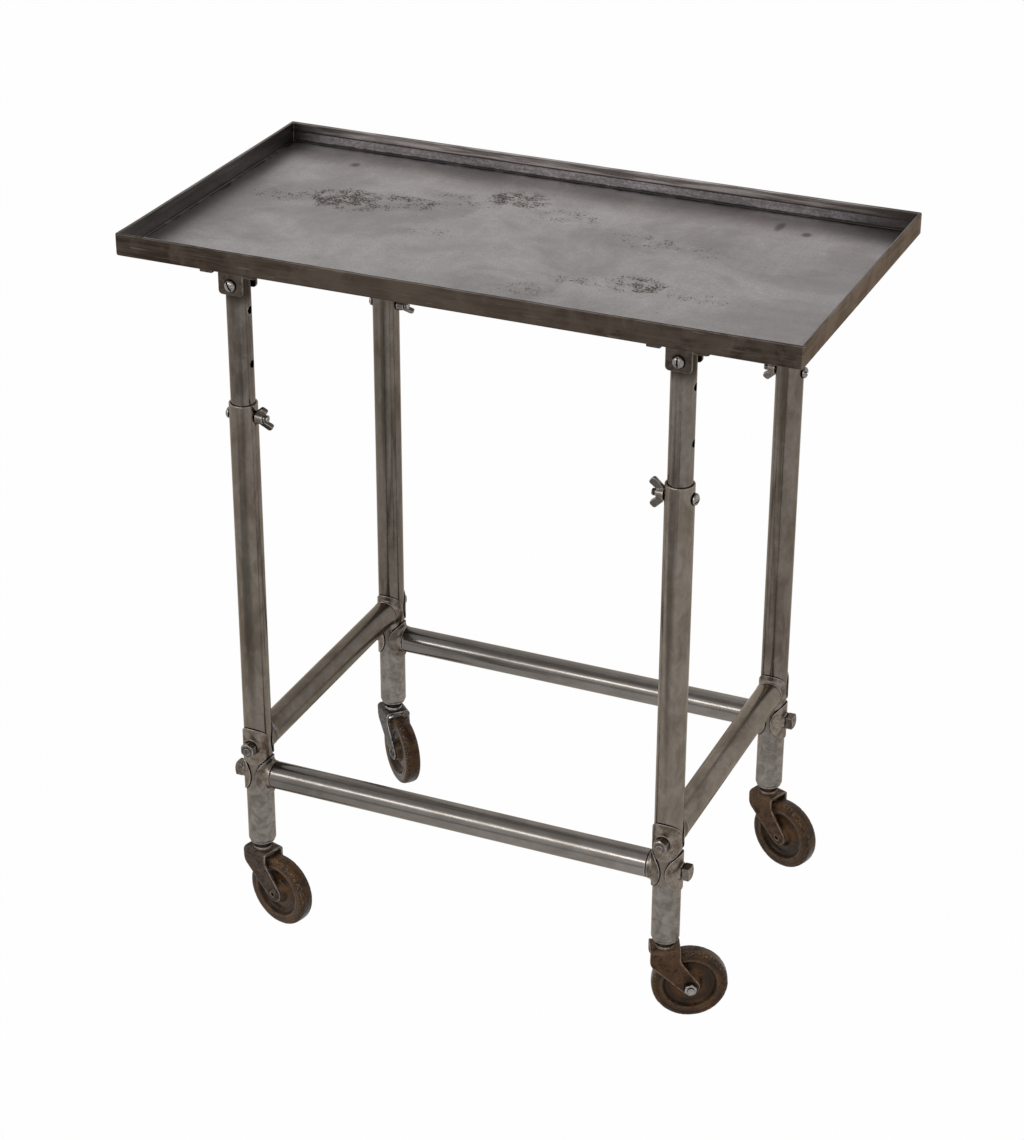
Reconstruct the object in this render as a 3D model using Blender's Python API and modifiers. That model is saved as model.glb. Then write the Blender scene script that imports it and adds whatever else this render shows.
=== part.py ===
# Mobile medical table: a shallow hemmed steel tray on four telescoping tube legs,
# braced by bolted stretchers and standing on swivel casters.
# Metres, +Z up. The origin is on the floor below the middle of the tray, with +X along its length
# and the front of the table at -Y.

import math

import bmesh
import bpy
from mathutils import Matrix, Vector

# Whole table
TABLE_HEIGHT = 0.8382
TRAY_LENGTH = 0.762
TRAY_DEPTH = 0.4064
LEG_INSET_X = 0.1307
LEG_INSET_Y = 0.0269

# Tray: folded sheet with the rim's top edge turned in and down as a hem
RIM_HEIGHT = 0.0254
SHEET = 0.0016
BEND_RADIUS = 0.0026
HEM_DEPTH = 0.0105
CORNER_RADIUS = 0.002

# Tray brackets: H-shaped feet under the tray, two ears bent down round the inner tube
BRACKET_THICKNESS = 0.003
BRACKET_BEND = 0.004
EAR_WIDTH = 0.0286
EAR_DROP = 0.0275
EAR_RADIUS = 0.0045
FOOT_LENGTH = 0.0157
FOOT_DEPTH = 0.047
FOOT_RADIUS = 0.003
FOOT_RELIEF = 0.0032
BRIDGE_DEPTH = 0.022
SCREW_DROP = 0.0168

# Telescoping legs
LEG_DIAMETER = 0.03175
LEG_WALL = 0.0021
INNER_WALL = 0.0017
LEG_EXPOSED = 0.1814
LOCK_DROP = 0.0155
HOLE_PITCH = 0.0617
OPEN_HOLES = 2
LIFT_HOLES = 2
INNER_TAIL = 0.06

# Stretchers and their saddles
STRETCHER_DIAMETER = 0.03175
STRETCHER_WALL = 0.0021
SIDE_STRETCHER_HEIGHT = 0.2336
SADDLE_THICKNESS = 0.0016
SADDLE_SPLIT = 0.007
SADDLE_SPACING = 0.0015
NECK_FLARE = 0.0034
NECK_LENGTH = 0.0011
PLUG_LENGTH = 0.014

# Fasteners
JOINT_BOLT_DIAMETER = 0.0095
BOLT_HEAD_FLATS = 0.0145
BOLT_HEAD_HEIGHT = 0.0096
BOLT_PAST_PLUG = 0.006
NUT_FLATS = 0.0143
NUT_HEIGHT = 0.0095
ROD_PROUD = 0.0012
LOCK_BOLT_DIAMETER = 0.0079
SCREW_HEAD_DIAMETER = 0.0145
SCREW_HEAD_HEIGHT = 0.005
SCREW_SLOT_WIDTH = 0.0018
SCREW_SLOT_DEPTH = 0.002
SCREW_NUT_FLATS = 0.0127
SCREW_NUT_HEIGHT = 0.0068
LOCK_BOLT_REACH = 0.03

# Wing nuts
WING_HUB_DIAMETER = 0.0142
WING_HUB_TIP_DIAMETER = 0.0116
WING_HUB_HEIGHT = 0.008
WING_THICKNESS = 0.0044
WING_ROOT_RISE = 0.001
WING_REACH = 0.0185
WING_HEIGHT = 0.0162
WING_WIDTH = 0.0088
WING_TIP_RADIUS = 0.002

# Casters
WHEEL_DIAMETER = 0.086
WHEEL_WIDTH = 0.02
HUB_WIDTH = 0.024
HUB_DIAMETER = 0.022
WEB_WIDTH = 0.014
GROOVE_INNER_DIAMETER = 0.061
GROOVE_OUTER_DIAMETER = 0.067
TREAD_SHOULDER = 0.003
AXLE_DIAMETER = 0.0079
AXLE_HEAD_DIAMETER = 0.012
AXLE_HEAD_HEIGHT = 0.0022
AXLE_HOLLOW_DIAMETER = 0.005
AXLE_HOLLOW_DEPTH = 0.004
AXLE_NUT_FLATS = 0.0127
AXLE_NUT_HEIGHT = 0.0065
AXLE_PROUD = 0.0015
TRAIL = 0.0285
FORK_THICKNESS = 0.003
FORK_BEND = 0.0045
FORK_LENGTH = 0.034
FORK_RISE = 0.0482
FORK_FRONT_DROP = 0.0145
FORK_REAR_DROP = 0.019
FORK_SWEEP_RADIUS = 0.014
FORK_END_RADIUS = 0.0105
STEM_DIAMETER = 0.0111
STEM_LENGTH = 0.042
STEM_BOSS_DIAMETER = 0.02
STEM_BOSS_HEIGHT = 0.0058
SOCKET_LENGTH = 0.045
SOCKET_FLANGE_DIAMETER = 0.029
SOCKET_FLANGE_HEIGHT = 0.0022
SOCKET_TAPER_HEIGHT = 0.0038

# Clearances
SLIDE_CLEARANCE = 0.0003
SEAT_GAP = 0.0003
SADDLE_CLEARANCE = 0.0007
BOLT_CLEARANCE = 0.0003
LOCK_CLEARANCE = 0.00045
TURNING_CLEARANCE = 0.0004
AXLE_SIDE_GAP = 0.0005
TUBE_HEADROOM = 0.002

# How the casters, wing nuts and screw slots stand, in degrees
CASTER_TURN = {"fl": -17.0, "fr": 25.0, "bl": -43.4, "br": -20.7}
WING_TURN = {"fl": 28.0, "fr": -6.0, "bl": 45.0, "br": -20.0}
SCREW_TURN = {"fl": 62.0, "fr": 88.0, "bl": 25.0, "br": 140.0}
BOLTED_AXLES = ("fr",)

# Facets
TUBE_SIDES = 16
WHEEL_SIDES = 16
PIN_SIDES = 10
SHANK_SIDES = 8
HOLE_SIDES = 8
HIDDEN_HOLE_SIDES = 6
SOCKET_SIDES = 12
WASHER_SIDES = 16
ARC_STEPS = 2
CORNER_STEPS = 2

# Worked out from the sizes above
LEGS = {"fl": (-1, -1), "fr": (1, -1), "bl": (-1, 1), "br": (1, 1)}
LEG_X = TRAY_LENGTH / 2 - LEG_INSET_X
LEG_Y = TRAY_DEPTH / 2 - LEG_INSET_Y
TRAY_BOTTOM = TABLE_HEIGHT - RIM_HEIGHT
LEG_RADIUS = LEG_DIAMETER / 2
LEG_BORE = LEG_RADIUS - LEG_WALL
LEG_TOP = TABLE_HEIGHT - LEG_EXPOSED
LOCK_HEIGHT = LEG_TOP - LOCK_DROP
INNER_RADIUS = LEG_BORE - SLIDE_CLEARANCE
LIFT = LIFT_HOLES * HOLE_PITCH
EAR_INSIDE = 2 * (INNER_RADIUS + SEAT_GAP)
EAR_OUTSIDE = EAR_INSIDE + 2 * BRACKET_THICKNESS
SCREW_HEIGHT = TRAY_BOTTOM - SCREW_DROP

SADDLE_IN = LEG_RADIUS + SADDLE_CLEARANCE
SADDLE_OUT = SADDLE_IN + SADDLE_THICKNESS
SADDLE_MID = (SADDLE_IN + SADDLE_OUT) / 2
SADDLE_RADIUS = (math.pi * SADDLE_MID - SADDLE_SPLIT) / 2
# Neighbouring saddles sit a quarter turn apart round the leg, and just clear each other.
SADDLE_QUARTER = math.pi / 2 * SADDLE_MID
STRETCHER_DROP = math.sqrt((2 * SADDLE_RADIUS + SADDLE_SPACING) ** 2 - SADDLE_QUARTER**2)
LONG_STRETCHER_HEIGHT = SIDE_STRETCHER_HEIGHT - STRETCHER_DROP
STRETCHER_RADIUS = STRETCHER_DIAMETER / 2
NECK_RADIUS = STRETCHER_RADIUS + NECK_FLARE
STRETCHER_END = SADDLE_OUT + NECK_LENGTH
PLUG_END = STRETCHER_END + PLUG_LENGTH
JOINT_BOLT_RADIUS = JOINT_BOLT_DIAMETER / 2
JOINT_HOLE = JOINT_BOLT_RADIUS + BOLT_CLEARANCE
LOCK_BOLT_RADIUS = LOCK_BOLT_DIAMETER / 2
LOCK_HOLE = LOCK_BOLT_RADIUS + LOCK_CLEARANCE

WHEEL_RADIUS = WHEEL_DIAMETER / 2
AXLE_RADIUS = AXLE_DIAMETER / 2
FORK_INSIDE = HUB_WIDTH + 2 * AXLE_SIDE_GAP
FORK_OUTSIDE = FORK_INSIDE + 2 * FORK_THICKNESS
FORK_TOP = WHEEL_RADIUS + FORK_RISE
SOCKET_BOTTOM = FORK_TOP + STEM_BOSS_HEIGHT + TURNING_CLEARANCE
LEG_BOTTOM = SOCKET_BOTTOM + SOCKET_TAPER_HEIGHT + SOCKET_FLANGE_HEIGHT + SEAT_GAP
STEM_RADIUS = STEM_DIAMETER / 2

# Directions that a piece built along +Z can be turned to
ALONG_X = Matrix(((0, 0, 1, 0), (0, 1, 0, 0), (-1, 0, 0, 0), (0, 0, 0, 1)))
ALONG_Y = Matrix(((1, 0, 0, 0), (0, 0, 1, 0), (0, -1, 0, 0), (0, 0, 0, 1)))
# Planes that a flat outline can stand in
PLANE_XY = Matrix.Identity(4)
PLANE_XZ = Matrix(((1, 0, 0, 0), (0, 0, -1, 0), (0, 1, 0, 0), (0, 0, 0, 1)))
PLANE_YZ = Matrix(((0, 0, 1, 0), (1, 0, 0, 0), (0, 1, 0, 0), (0, 0, 0, 1)))


def new_collection(name):
    collection = bpy.data.collections.new(name)
    bpy.context.scene.collection.children.link(collection)
    return collection


def new_finish(name, colour, roughness, metallic):
    finish = bpy.data.materials.new(name)
    finish.use_nodes = True
    shader = finish.node_tree.nodes["Principled BSDF"]
    shader.inputs["Base Color"].default_value = (*colour, 1.0)
    shader.inputs["Roughness"].default_value = roughness
    shader.inputs["Metallic"].default_value = metallic
    return finish


for leftover in list(bpy.data.objects):
    bpy.data.objects.remove(leftover)
TABLE = new_collection("mobile_medical_table")
PATTERNS = new_collection("patterns_and_cutters")

TRAY_STEEL = new_finish("tray_steel", (0.16, 0.15, 0.145), 0.42, 1.0)
BRACKET_STEEL = new_finish("bracket_steel", (0.12, 0.11, 0.105), 0.5, 1.0)
TUBE_STEEL = new_finish("tube_steel", (0.2, 0.185, 0.17), 0.38, 1.0)
BRIGHT_STEEL = new_finish("bright_steel", (0.34, 0.33, 0.33), 0.26, 1.0)
SADDLE_STEEL = new_finish("saddle_steel", (0.22, 0.2, 0.185), 0.4, 1.0)
BOLT_STEEL = new_finish("bolt_steel", (0.24, 0.225, 0.21), 0.36, 1.0)
SOCKET_STEEL = new_finish("socket_steel", (0.25, 0.24, 0.23), 0.35, 1.0)
RUSTED_STEEL = new_finish("rusted_steel", (0.06, 0.045, 0.036), 0.65, 0.7)
WHEEL_RUBBER = new_finish("wheel_rubber", (0.065, 0.045, 0.03), 0.7, 0.0)


# Shapes

def new_pattern(name, mesh):
    """A shape that others are cut with or copied from, not a piece of the table."""
    pattern = bpy.data.objects.new(name, mesh)
    pattern.hide_render = True
    pattern.display_type = "WIRE"
    PATTERNS.objects.link(pattern)
    return pattern


def merged(mesh):
    work = bmesh.new()
    work.from_mesh(mesh)
    bmesh.ops.remove_doubles(work, verts=work.verts, dist=1e-6)
    bmesh.ops.recalc_face_normals(work, faces=work.faces)
    work.to_mesh(mesh)
    work.free()
    return mesh


def evaluated_mesh(pattern):
    bpy.context.view_layer.update()
    graph = bpy.context.evaluated_depsgraph_get()
    return bpy.data.meshes.new_from_object(pattern.evaluated_get(graph))


def finished_mesh(pattern):
    """The pattern with its modifiers applied, shaded smooth on its round faces."""
    mesh = evaluated_mesh(pattern)
    mesh.shade_smooth()
    mesh.set_sharp_from_angle(angle=math.radians(35))
    return mesh


def turned(name, profile, sides, closed=False, along=Matrix.Identity(4)):
    """A pattern turned about Z from (radius, height) points, which run down its outer side."""
    mesh = bpy.data.meshes.new(name)
    points = [(radius, 0.0, height) for radius, height in profile]
    edges = [(i, i + 1) for i in range(len(points) - 1)]
    if closed:
        edges.append((len(points) - 1, 0))
    mesh.from_pydata(points, edges, [])
    pattern = new_pattern(name, mesh)
    screw = pattern.modifiers.new("turn", "SCREW")
    screw.steps = sides
    screw.render_steps = sides
    screw.use_merge_vertices = True
    screw.merge_threshold = 1e-6
    solid = merged(evaluated_mesh(pattern))
    solid.transform(along)
    pattern.modifiers.remove(screw)
    pattern.data = solid
    return pattern


def pipe(name, outer, inner, top, bottom, sides):
    wall = [(outer, top), (outer, bottom), (inner, bottom), (inner, top)]
    return turned(name, wall, sides, closed=True)


def flat_plate(name, outline, thickness, plane):
    """A pattern with a flat outline, half its thickness on each side of its plane."""
    curve = bpy.data.curves.new(name, "CURVE")
    curve.dimensions = "2D"
    curve.fill_mode = "BOTH"
    curve.extrude = thickness / 2
    spline = curve.splines.new("POLY")
    spline.points.add(len(outline) - 1)
    for point, (x, y) in zip(spline.points, outline):
        point.co = (x, y, 0.0, 1.0)
    spline.use_cyclic_u = True
    drawn = new_pattern(name + "_outline", curve)
    mesh = merged(evaluated_mesh(drawn))
    bpy.data.objects.remove(drawn)
    mesh.transform(plane)
    return new_pattern(name, mesh)


def prism(name, radius, sides, start, end, turn=0.0):
    """A straight bar with a regular section from start to end, first corner turned by turn."""
    start, end = Vector(start), Vector(end)
    line = end - start
    place = Matrix.Translation((start + end) / 2)
    place @= Vector((0, 0, 1)).rotation_difference(line).to_matrix().to_4x4()
    place @= Matrix.Rotation(turn, 4, "Z")
    work = bmesh.new()
    bmesh.ops.create_cone(
        work,
        cap_ends=True,
        segments=sides,
        radius1=radius,
        radius2=radius,
        depth=line.length,
        matrix=place,
    )
    mesh = bpy.data.meshes.new(name)
    work.to_mesh(mesh)
    work.free()
    return new_pattern(name, mesh)


def lofted(name, rings, closed):
    """A pattern whose skin runs through rings of matching points; open ends get a cap."""
    work = bmesh.new()
    rows = [[work.verts.new(point) for point in ring] for ring in rings]
    pairs = list(zip(rows, rows[1:]))
    if closed:
        pairs.append((rows[-1], rows[0]))
    else:
        work.faces.new(rows[0])
        work.faces.new(rows[-1])
    for near, far in pairs:
        for i in range(len(near)):
            j = (i + 1) % len(near)
            work.faces.new((near[i], near[j], far[j], far[i]))
    bmesh.ops.recalc_face_normals(work, faces=work.faces)
    mesh = bpy.data.meshes.new(name)
    work.to_mesh(mesh)
    work.free()
    return new_pattern(name, mesh)


def combine(target, tool, operation):
    step = target.modifiers.new(tool.name, "BOOLEAN")
    step.operation = operation
    step.solver = "EXACT"
    step.object = tool


def drill(target, radius, start, end, sides):
    """A hole whose flats lie on the true radius, so that a round pin of that radius passes."""
    corner = radius / math.cos(math.pi / sides)
    bar = prism(target.name + "_hole", corner, sides, start, end, math.pi / sides)
    combine(target, bar, "DIFFERENCE")


def circle(radius, sides, x):
    """Points round the X axis at x."""
    turns = [2 * math.pi * i / sides for i in range(sides)]
    return [Vector((x, radius * math.cos(t), radius * math.sin(t))) for t in turns]


def filleted(corners):
    """An outline through (x, y, fillet radius) corners."""
    points = []
    for i, (x, y, radius) in enumerate(corners):
        here = Vector((x, y))
        if radius == 0.0:
            points.append((x, y))
            continue
        back = (Vector(corners[i - 1][:2]) - here).normalized()
        ahead = (Vector(corners[(i + 1) % len(corners)][:2]) - here).normalized()
        half = back.angle(ahead) / 2
        centre = here + (back + ahead).normalized() * (radius / math.sin(half))
        first = here + back * (radius / math.tan(half)) - centre
        last = here + ahead * (radius / math.tan(half)) - centre
        sweep = first.angle_signed(last)
        for step in range(ARC_STEPS + 1):
            spoke = Matrix.Rotation(-sweep * step / ARC_STEPS, 2) @ first
            points.append(tuple(centre + spoke))
    return points


def stadium(radius, low, high):
    """The outline of a slot between two round ends, its flats on the true radius."""
    corner = radius / math.cos(math.pi / HOLE_SIDES)
    steps = HOLE_SIDES // 2
    turns = [math.pi * i / steps for i in range(steps + 1)]
    upper = [(corner * math.cos(t), high + corner * math.sin(t)) for t in turns]
    lower = [(-corner * math.cos(t), low - corner * math.sin(t)) for t in turns]
    return upper + lower


def bent_channel(name, inside, thickness, bend, drop, length_from, length_to):
    """Sheet folded to an upside-down U across Y: top face at height 0, legs down to -drop."""
    outer, inner = inside / 2 + thickness, inside / 2
    inner_bend = bend - thickness
    section = filleted([
        (-outer, -drop, 0.0),
        (-outer, 0.0, bend),
        (outer, 0.0, bend),
        (outer, -drop, 0.0),
        (inner, -drop, 0.0),
        (inner, -thickness, inner_bend),
        (-inner, -thickness, inner_bend),
        (-inner, -drop, 0.0),
    ])
    channel = flat_plate(name, section, length_to - length_from, PLANE_YZ)
    channel.data.transform(Matrix.Translation(((length_from + length_to) / 2, 0, 0)))
    return channel


def put(name, mesh, finish, place, parent=None, turn=(0.0, 0.0, 0.0)):
    """One piece of the table at its place."""
    piece = bpy.data.objects.new(name, mesh)
    if not mesh.materials:
        mesh.materials.append(finish)
    piece.location = place
    piece.rotation_euler = turn
    piece.parent = parent
    TABLE.objects.link(piece)
    return piece


def put_empty(name, place, turn=0.0):
    empty = bpy.data.objects.new(name, None)
    empty.location = place
    empty.rotation_euler = (0.0, 0.0, turn)
    TABLE.objects.link(empty)
    return empty


# Tray

def rounded_rectangle(inset, height):
    half_x = TRAY_LENGTH / 2 - inset - CORNER_RADIUS
    half_y = TRAY_DEPTH / 2 - inset - CORNER_RADIUS
    ring = []
    for quarter, (sx, sy) in enumerate(((1, 1), (-1, 1), (-1, -1), (1, -1))):
        for step in range(CORNER_STEPS + 1):
            turn = math.pi / 2 * (quarter + step / CORNER_STEPS)
            x = sx * half_x + CORNER_RADIUS * math.cos(turn)
            y = sy * half_y + CORNER_RADIUS * math.sin(turn)
            ring.append(Vector((x, y, height)))
    return ring


def tray_mesh():
    """The folded pan, from the floor's underside round the wall and hem to the floor's top."""
    section = []
    for step in range(ARC_STEPS + 1):
        turn = math.pi / 2 * step / ARC_STEPS
        inset = BEND_RADIUS * (1 - math.sin(turn))
        section.append((inset, TRAY_BOTTOM + BEND_RADIUS * (1 - math.cos(turn))))
    for step in range(2 * ARC_STEPS + 1):
        turn = math.pi * step / (2 * ARC_STEPS)
        inset = SHEET * (1 - math.cos(turn))
        section.append((inset, TABLE_HEIGHT - SHEET * (1 - math.sin(turn))))
    section.append((2 * SHEET, TABLE_HEIGHT - HEM_DEPTH))
    section.append((SHEET, TABLE_HEIGHT - HEM_DEPTH))
    for step in range(ARC_STEPS + 1):
        turn = math.pi / 2 * (1 - step / ARC_STEPS)
        inner = BEND_RADIUS - SHEET
        inset = BEND_RADIUS - inner * math.sin(turn)
        section.append((inset, TRAY_BOTTOM + BEND_RADIUS - inner * math.cos(turn)))
    rings = [rounded_rectangle(inset, height) for inset, height in section]
    return finished_mesh(lofted("tray_pattern", rings, closed=False))


def bracket_mesh():
    """Bracket with its top face at height 0, ears in front of and behind the leg axis."""
    bracket = bent_channel(
        "bracket_pattern", EAR_INSIDE, BRACKET_THICKNESS, BRACKET_BEND, EAR_DROP, -EAR_WIDTH, EAR_WIDTH
    )
    half = EAR_WIDTH / 2
    ear = filleted([
        (-half, BRACKET_THICKNESS, 0.0),
        (half, BRACKET_THICKNESS, 0.0),
        (half, -EAR_DROP, EAR_RADIUS),
        (-half, -EAR_DROP, EAR_RADIUS),
    ])
    combine(bracket, flat_plate("ear_outline", ear, 2 * EAR_OUTSIDE, PLANE_XZ), "INTERSECT")
    screw_at = -SCREW_DROP + SEAT_GAP
    hole = LOCK_BOLT_RADIUS + BOLT_CLEARANCE
    drill(bracket, hole, (0, -EAR_OUTSIDE, screw_at), (0, EAR_OUTSIDE, screw_at), HIDDEN_HOLE_SIDES)
    foot_from, foot_to = half + FOOT_RELIEF, half + FOOT_RELIEF + FOOT_LENGTH
    foot, bridge = FOOT_DEPTH / 2, BRIDGE_DEPTH / 2
    plate = filleted([
        (foot_to, -foot, FOOT_RADIUS),
        (foot_to, foot, FOOT_RADIUS),
        (foot_from, foot, 0.0),
        (foot_from, bridge, 0.0),
        (-foot_from, bridge, 0.0),
        (-foot_from, foot, 0.0),
        (-foot_to, foot, FOOT_RADIUS),
        (-foot_to, -foot, FOOT_RADIUS),
        (-foot_from, -foot, 0.0),
        (-foot_from, -bridge, 0.0),
        (foot_from, -bridge, 0.0),
        (foot_from, -foot, 0.0),
    ])
    feet = flat_plate("bracket_feet", plate, BRACKET_THICKNESS, PLANE_XY)
    feet.data.transform(Matrix.Translation((0, 0, -BRACKET_THICKNESS / 2)))
    combine(bracket, feet, "UNION")
    return finished_mesh(bracket)


def round_head(name, along):
    """A slotted round head, flat face at 0, dome towards +Z."""
    radius, height = SCREW_HEAD_DIAMETER / 2, SCREW_HEAD_HEIGHT
    steps = ARC_STEPS + 1
    dome = [(0.0, height)]
    for step in range(1, steps):
        turn = math.pi / 2 * step / steps
        dome.append((radius * math.sin(turn), height * (0.25 + 0.75 * math.cos(turn))))
    head = turned(name, [*dome, (radius, height * 0.25), (radius, 0.0), (0.0, 0.0)], PIN_SIDES)
    slot = prism(
        name + "_slot",
        SCREW_SLOT_WIDTH / math.sqrt(2),
        4,
        (-radius * 2, 0, height),
        (radius * 2, 0, height),
        math.pi / 4,
    )
    slot.data.transform(Matrix.Diagonal((1, 1, 2 * SCREW_SLOT_DEPTH / SCREW_SLOT_WIDTH, 1)))
    slot.data.transform(Matrix.Translation((0, 0, height * (1 - 2 * SCREW_SLOT_DEPTH / SCREW_SLOT_WIDTH))))
    combine(head, slot, "DIFFERENCE")
    mesh = evaluated_mesh(head)
    mesh.transform(along)
    return new_pattern(name + "_cut", mesh)


def bracket_screw_mesh():
    """Screw along Y, head to -Y, with its nut tightened behind the rear ear."""
    seat = EAR_OUTSIDE / 2 + SEAT_GAP
    tip = seat + SCREW_NUT_HEIGHT + ROD_PROUD
    screw = round_head("bracket_screw_pattern", Matrix.Translation((0, -seat, 0)) @ ALONG_Y.inverted())
    shank_from = -seat - SCREW_HEAD_HEIGHT / 4
    shank = prism("screw_shank", LOCK_BOLT_RADIUS, SHANK_SIDES, (0, shank_from, 0), (0, tip, 0))
    combine(screw, shank, "UNION")
    nut_from, nut_to = (0, seat, 0), (0, seat + SCREW_NUT_HEIGHT, 0)
    nut = prism("screw_nut", SCREW_NUT_FLATS / math.sqrt(3), 6, nut_from, nut_to)
    combine(screw, nut, "UNION")
    return finished_mesh(screw)


# Legs

def leg_mesh():
    leg = pipe("leg_pattern", LEG_RADIUS, LEG_BORE, LEG_TOP, LEG_BOTTOM, TUBE_SIDES)
    far = LEG_DIAMETER
    drill(leg, LOCK_HOLE, (-far, 0, LOCK_HEIGHT), (far, 0, LOCK_HEIGHT), HOLE_SIDES)
    long_at, side_at = LONG_STRETCHER_HEIGHT, SIDE_STRETCHER_HEIGHT
    drill(leg, JOINT_HOLE, (-far, 0, long_at), (far, 0, long_at), HIDDEN_HOLE_SIDES)
    drill(leg, JOINT_HOLE, (0, -far, side_at), (0, far, side_at), HIDDEN_HOLE_SIDES)
    return finished_mesh(leg)


def inner_tube_mesh():
    """Inner tube: round height holes above the lock bolt, and below it a slot inside the leg."""
    top = TRAY_BOTTOM - SEAT_GAP - BRACKET_THICKNESS - TUBE_HEADROOM
    bottom = LOCK_HEIGHT - LIFT - INNER_TAIL
    tube = pipe("inner_tube_pattern", INNER_RADIUS, INNER_RADIUS - INNER_WALL, top, bottom, TUBE_SIDES)
    far = LEG_DIAMETER
    for hole in range(1, OPEN_HOLES + 1):
        height = LOCK_HEIGHT + hole * HOLE_PITCH
        drill(tube, LOCK_HOLE, (-far, 0, height), (far, 0, height), HOLE_SIDES)
    hole = LOCK_BOLT_RADIUS + BOLT_CLEARANCE
    drill(tube, hole, (0, -far, SCREW_HEIGHT), (0, far, SCREW_HEIGHT), HIDDEN_HOLE_SIDES)
    slot_outline = stadium(LOCK_HOLE, LOCK_HEIGHT - LIFT, LOCK_HEIGHT)
    slot = flat_plate("tube_slot", slot_outline, 2 * far, PLANE_YZ)
    combine(tube, slot, "DIFFERENCE")
    return finished_mesh(tube)


# Stretchers, saddles and their fasteners

def saddle_ring(reach, level, sides):
    """A circle of the flat saddle disc, bent round a leg on the Z axis, facing +X."""
    ring = []
    for i in range(sides):
        turn = 2 * math.pi * i / sides
        bend = reach * math.cos(turn) / SADDLE_MID
        ring.append(Vector((level * math.cos(bend), level * math.sin(bend), reach * math.sin(turn))))
    return ring


def saddle_hole(level, sides):
    """The edge of the bolt hole in the bent disc, a true circle seen along X."""
    ring = circle(JOINT_HOLE, sides, 0.0)
    for point in ring:
        point.x = math.sqrt(level**2 - point.y**2)
    return ring


def saddle_face(level, sides):
    """Rings over one face of the disc, from the bolt hole out to the rim."""
    thirds = [JOINT_HOLE + (SADDLE_RADIUS - JOINT_HOLE) * share / 3 for share in (1, 2, 3)]
    return [saddle_hole(level, sides)] + [saddle_ring(reach, level, sides) for reach in thirds]


def washer_mesh():
    rings = saddle_face(SADDLE_IN, WASHER_SIDES) + saddle_face(SADDLE_OUT, WASHER_SIDES)[::-1]
    return finished_mesh(lofted("saddle_washer_pattern", rings, closed=True))


def stretcher_mesh(name, span):
    """Tube along X between two leg axes, with a brazed saddle end and a bored plug at each end."""
    end = saddle_face(SADDLE_IN, TUBE_SIDES)
    end.append(saddle_ring(SADDLE_RADIUS, SADDLE_OUT, TUBE_SIDES))
    end.append(saddle_ring(NECK_RADIUS, SADDLE_OUT, TUBE_SIDES))
    end.append(circle(STRETCHER_RADIUS, TUBE_SIDES, STRETCHER_END))
    bore = STRETCHER_RADIUS - STRETCHER_WALL
    inside = [circle(bore, TUBE_SIDES, PLUG_END), circle(JOINT_HOLE, TUBE_SIDES, PLUG_END)]
    left = [[Vector((p.x - span / 2, p.y, p.z)) for p in ring] for ring in end]
    right = [[Vector((span / 2 - p.x, p.y, p.z)) for p in ring] for ring in end[::-1]]
    right += [[Vector((span / 2 - p.x, p.y, p.z)) for p in ring] for ring in inside[::-1]]
    back = [[Vector((p.x - span / 2, p.y, p.z)) for p in ring] for ring in inside]
    return finished_mesh(lofted(name, left + right + back, closed=True))


def long_bolt_mesh():
    """Square-head bolt along X, head to -X, for a leg on the Z axis."""
    seat = SADDLE_OUT + SEAT_GAP
    head_from, head_to = (-seat - BOLT_HEAD_HEIGHT, 0, 0), (-seat, 0, 0)
    bolt = prism("long_bolt_pattern", BOLT_HEAD_FLATS / math.sqrt(2), 4, head_from, head_to, math.pi / 4)
    chamfer = bolt.modifiers.new("worn corners", "BEVEL")
    chamfer.width = BOLT_HEAD_FLATS / 16
    chamfer.segments = 1
    shank_from, shank_to = (-seat - BOLT_HEAD_HEIGHT / 2, 0, 0), (PLUG_END + BOLT_PAST_PLUG, 0, 0)
    combine(bolt, prism("long_bolt_shank", JOINT_BOLT_RADIUS, SHANK_SIDES, shank_from, shank_to), "UNION")
    return finished_mesh(bolt)


def tie_rod_mesh():
    """Rod along Y through a side stretcher, with a hex nut tightened on each end."""
    seat = LEG_Y + SADDLE_OUT + SEAT_GAP
    tip = seat + NUT_HEIGHT + ROD_PROUD
    rod = prism("tie_rod_pattern", JOINT_BOLT_RADIUS, SHANK_SIDES, (0, -tip, 0), (0, tip, 0))
    for side in (-1, 1):
        near, far = (0, side * seat, 0), (0, side * (seat + NUT_HEIGHT), 0)
        combine(rod, prism("tie_rod_nut", NUT_FLATS / math.sqrt(3), 6, near, far, math.pi / 6), "UNION")
    return finished_mesh(rod)


def lock_bolt_mesh():
    """Slotted bolt along X, head to -X, for a leg on the Z axis."""
    seat = LEG_RADIUS + SEAT_GAP
    bolt = round_head("lock_bolt_pattern", Matrix.Translation((-seat, 0, 0)) @ ALONG_X.inverted())
    shank_from = (-seat - SCREW_HEAD_HEIGHT / 4, 0, 0)
    shank = prism("lock_shank", LOCK_BOLT_RADIUS, SHANK_SIDES, shank_from, (LOCK_BOLT_REACH, 0, 0))
    combine(bolt, shank, "UNION")
    return finished_mesh(bolt)


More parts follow.
